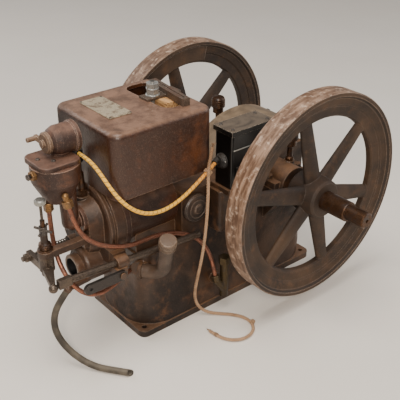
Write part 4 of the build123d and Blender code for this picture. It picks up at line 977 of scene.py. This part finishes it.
def bolt_zinc():
    """Bright nuts on a bolt whose cut end has gone dark."""
    f, cloud, fine, edge, rounded = machined("bolt_zinc")
    inside = 1.0 - f.reach((BOLT_X, BOLT_Y, 0.0), "Z").between(*BOLT_EDGE)
    cut = f.along("Z").between(*BOLT_END) * inside
    colour = f.mix(fine.between(0.3, 0.7), tone(146, 146, 142), tone(206, 206, 202))
    colour = f.mix(cloud.between(0.5, 0.66) * 0.35, colour, tone(104, 92, 78))
    colour = f.mix(cut * 0.85, colour, tone(54, 46, 40))
    return f.done(f.mix(edge * 0.5, colour, tone(226, 224, 220)), 0.3 + cloud * 0.2, METAL,
                  height=fine * 0.4 + cloud, depth=0.0002, normal=rounded)


wear(node["clamp_bolt"], bolt_zinc())
thread = []
for start, turns in THREADS:
    ridge_line = winding((BOLT_X, BOLT_Y, start), UP, THREAD_R, THREAD_PITCH, turns)
    thread.append(spun("thread", ridge_line, THREAD_RIDGE, sides=6))
wear(merged("bolt_thread", thread), zinc, "engine")


def wood():
    """Sawn softwood with its grain along Y."""
    f = Finish("sawn_wood")
    rings = (f.noise(26, 3, 0.6, (1, 0.12, 1), 1.2) * 60).sine()
    pores = f.noise(700, 2, 0.6, (1, 0.08, 1))
    colour = f.mix(rings.between(-0.8, 0.9), tone(196, 152, 102), tone(146, 102, 62))
    colour = f.mix(pores.between(0.55, 0.8) * 0.5, colour, tone(96, 70, 48))
    return f.done(colour, 0.8, height=rings * 0.3 + pores, depth=0.0003)


wear(node["wood_block"], wood())


# The bare plate on the hopper's top: thin pale metal with a beaded border.
# A small screw pins it at each corner.
PLATE_X, PLATE_Y, PLATE_TOP, PLATE_EDGE = (-0.254, -0.204), (-0.034, 0.070), 0.4666, 0.003
BORDER_UP, BORDER_INSET, BORDER_R = 0.0001, 0.003, 0.0005


def stained_plate():
    """Thin pale metal, its finish gone in brown stains."""
    f = Finish("stained_plate")
    cloud, grain = f.noise(70, 5, 0.7), f.noise(420, 3, 0.7)
    edge, rounded = f.edges(0.0008)
    colour = f.mix(grain.between(0.35, 0.65), tone(144, 133, 112), tone(174, 160, 138))
    colour = f.mix(cloud.between(0.5, 0.62) * 0.75, colour, tone(92, 72, 56))
    return f.done(f.mix(edge * 0.6, colour, tone(176, 162, 138)), 0.42 + cloud * 0.3, 0.25,
                  height=grain * 0.5 + cloud, depth=0.0004, normal=rounded)


plate_metal = stained_plate()
wear(node["hopper_plate"], plate_metal)
low_x, high_x = PLATE_X[0] + PLATE_EDGE, PLATE_X[1] - PLATE_EDGE
low_y, high_y = PLATE_Y[0] + PLATE_EDGE, PLATE_Y[1] - PLATE_EDGE
corners = [(low_x, low_y), (high_x, low_y), (high_x, high_y), (low_x, high_y)]
border = []
for ends in zip(corners, corners[1:] + corners[:1]):
    first, second = [Vector((*spot, PLATE_TOP + BORDER_UP)) for spot in ends]
    inset = (second - first).normalized() * BORDER_INSET
    side_line = [first + inset, (first + second) / 2, second - inset]
    border.append(spun("border", side_line, BORDER_R, sides=8))
wear(merged("plate_border", border), plate_metal, "engine")
screws("plate_pins", dark_steel, radius=0.0021, height=0.001,
       places=[((x, y, PLATE_TOP), UP) for x, y in corners])


# The crank guard: painted sheet bent in an arc over the crank, with dust wiped off in patches.
# Two screws at each end of the arc go through the sheet into the crankcase's deck.
GUARD_X, GUARD_Z, GUARD_OUT = 0.133, 0.201, 0.1621
GUARD_SCREW_Y, GUARD_SCREW_ANGLES = (-0.047, 0.047), (142.0, 55.0)
grey_sheet = enamel("grey_sheet", paint=tone(60, 49, 38), bare=tone(196, 170, 142),
                    dust=tone(132, 112, 90), settled=0.75, rough=0.36)
wear(node["crank_guard"], grey_sheet)
for name, turn in zip(("guard_front_screws", "guard_rear_screws"), GUARD_SCREW_ANGLES):
    way = (cos(radians(turn)), 0, sin(radians(turn)))
    x, z = GUARD_X + GUARD_OUT * way[0], GUARD_Z + GUARD_OUT * way[2]
    screws(name, dark_steel, radius=0.0042, height=0.002,
           places=[((x, y, z), way) for y in GUARD_SCREW_Y])
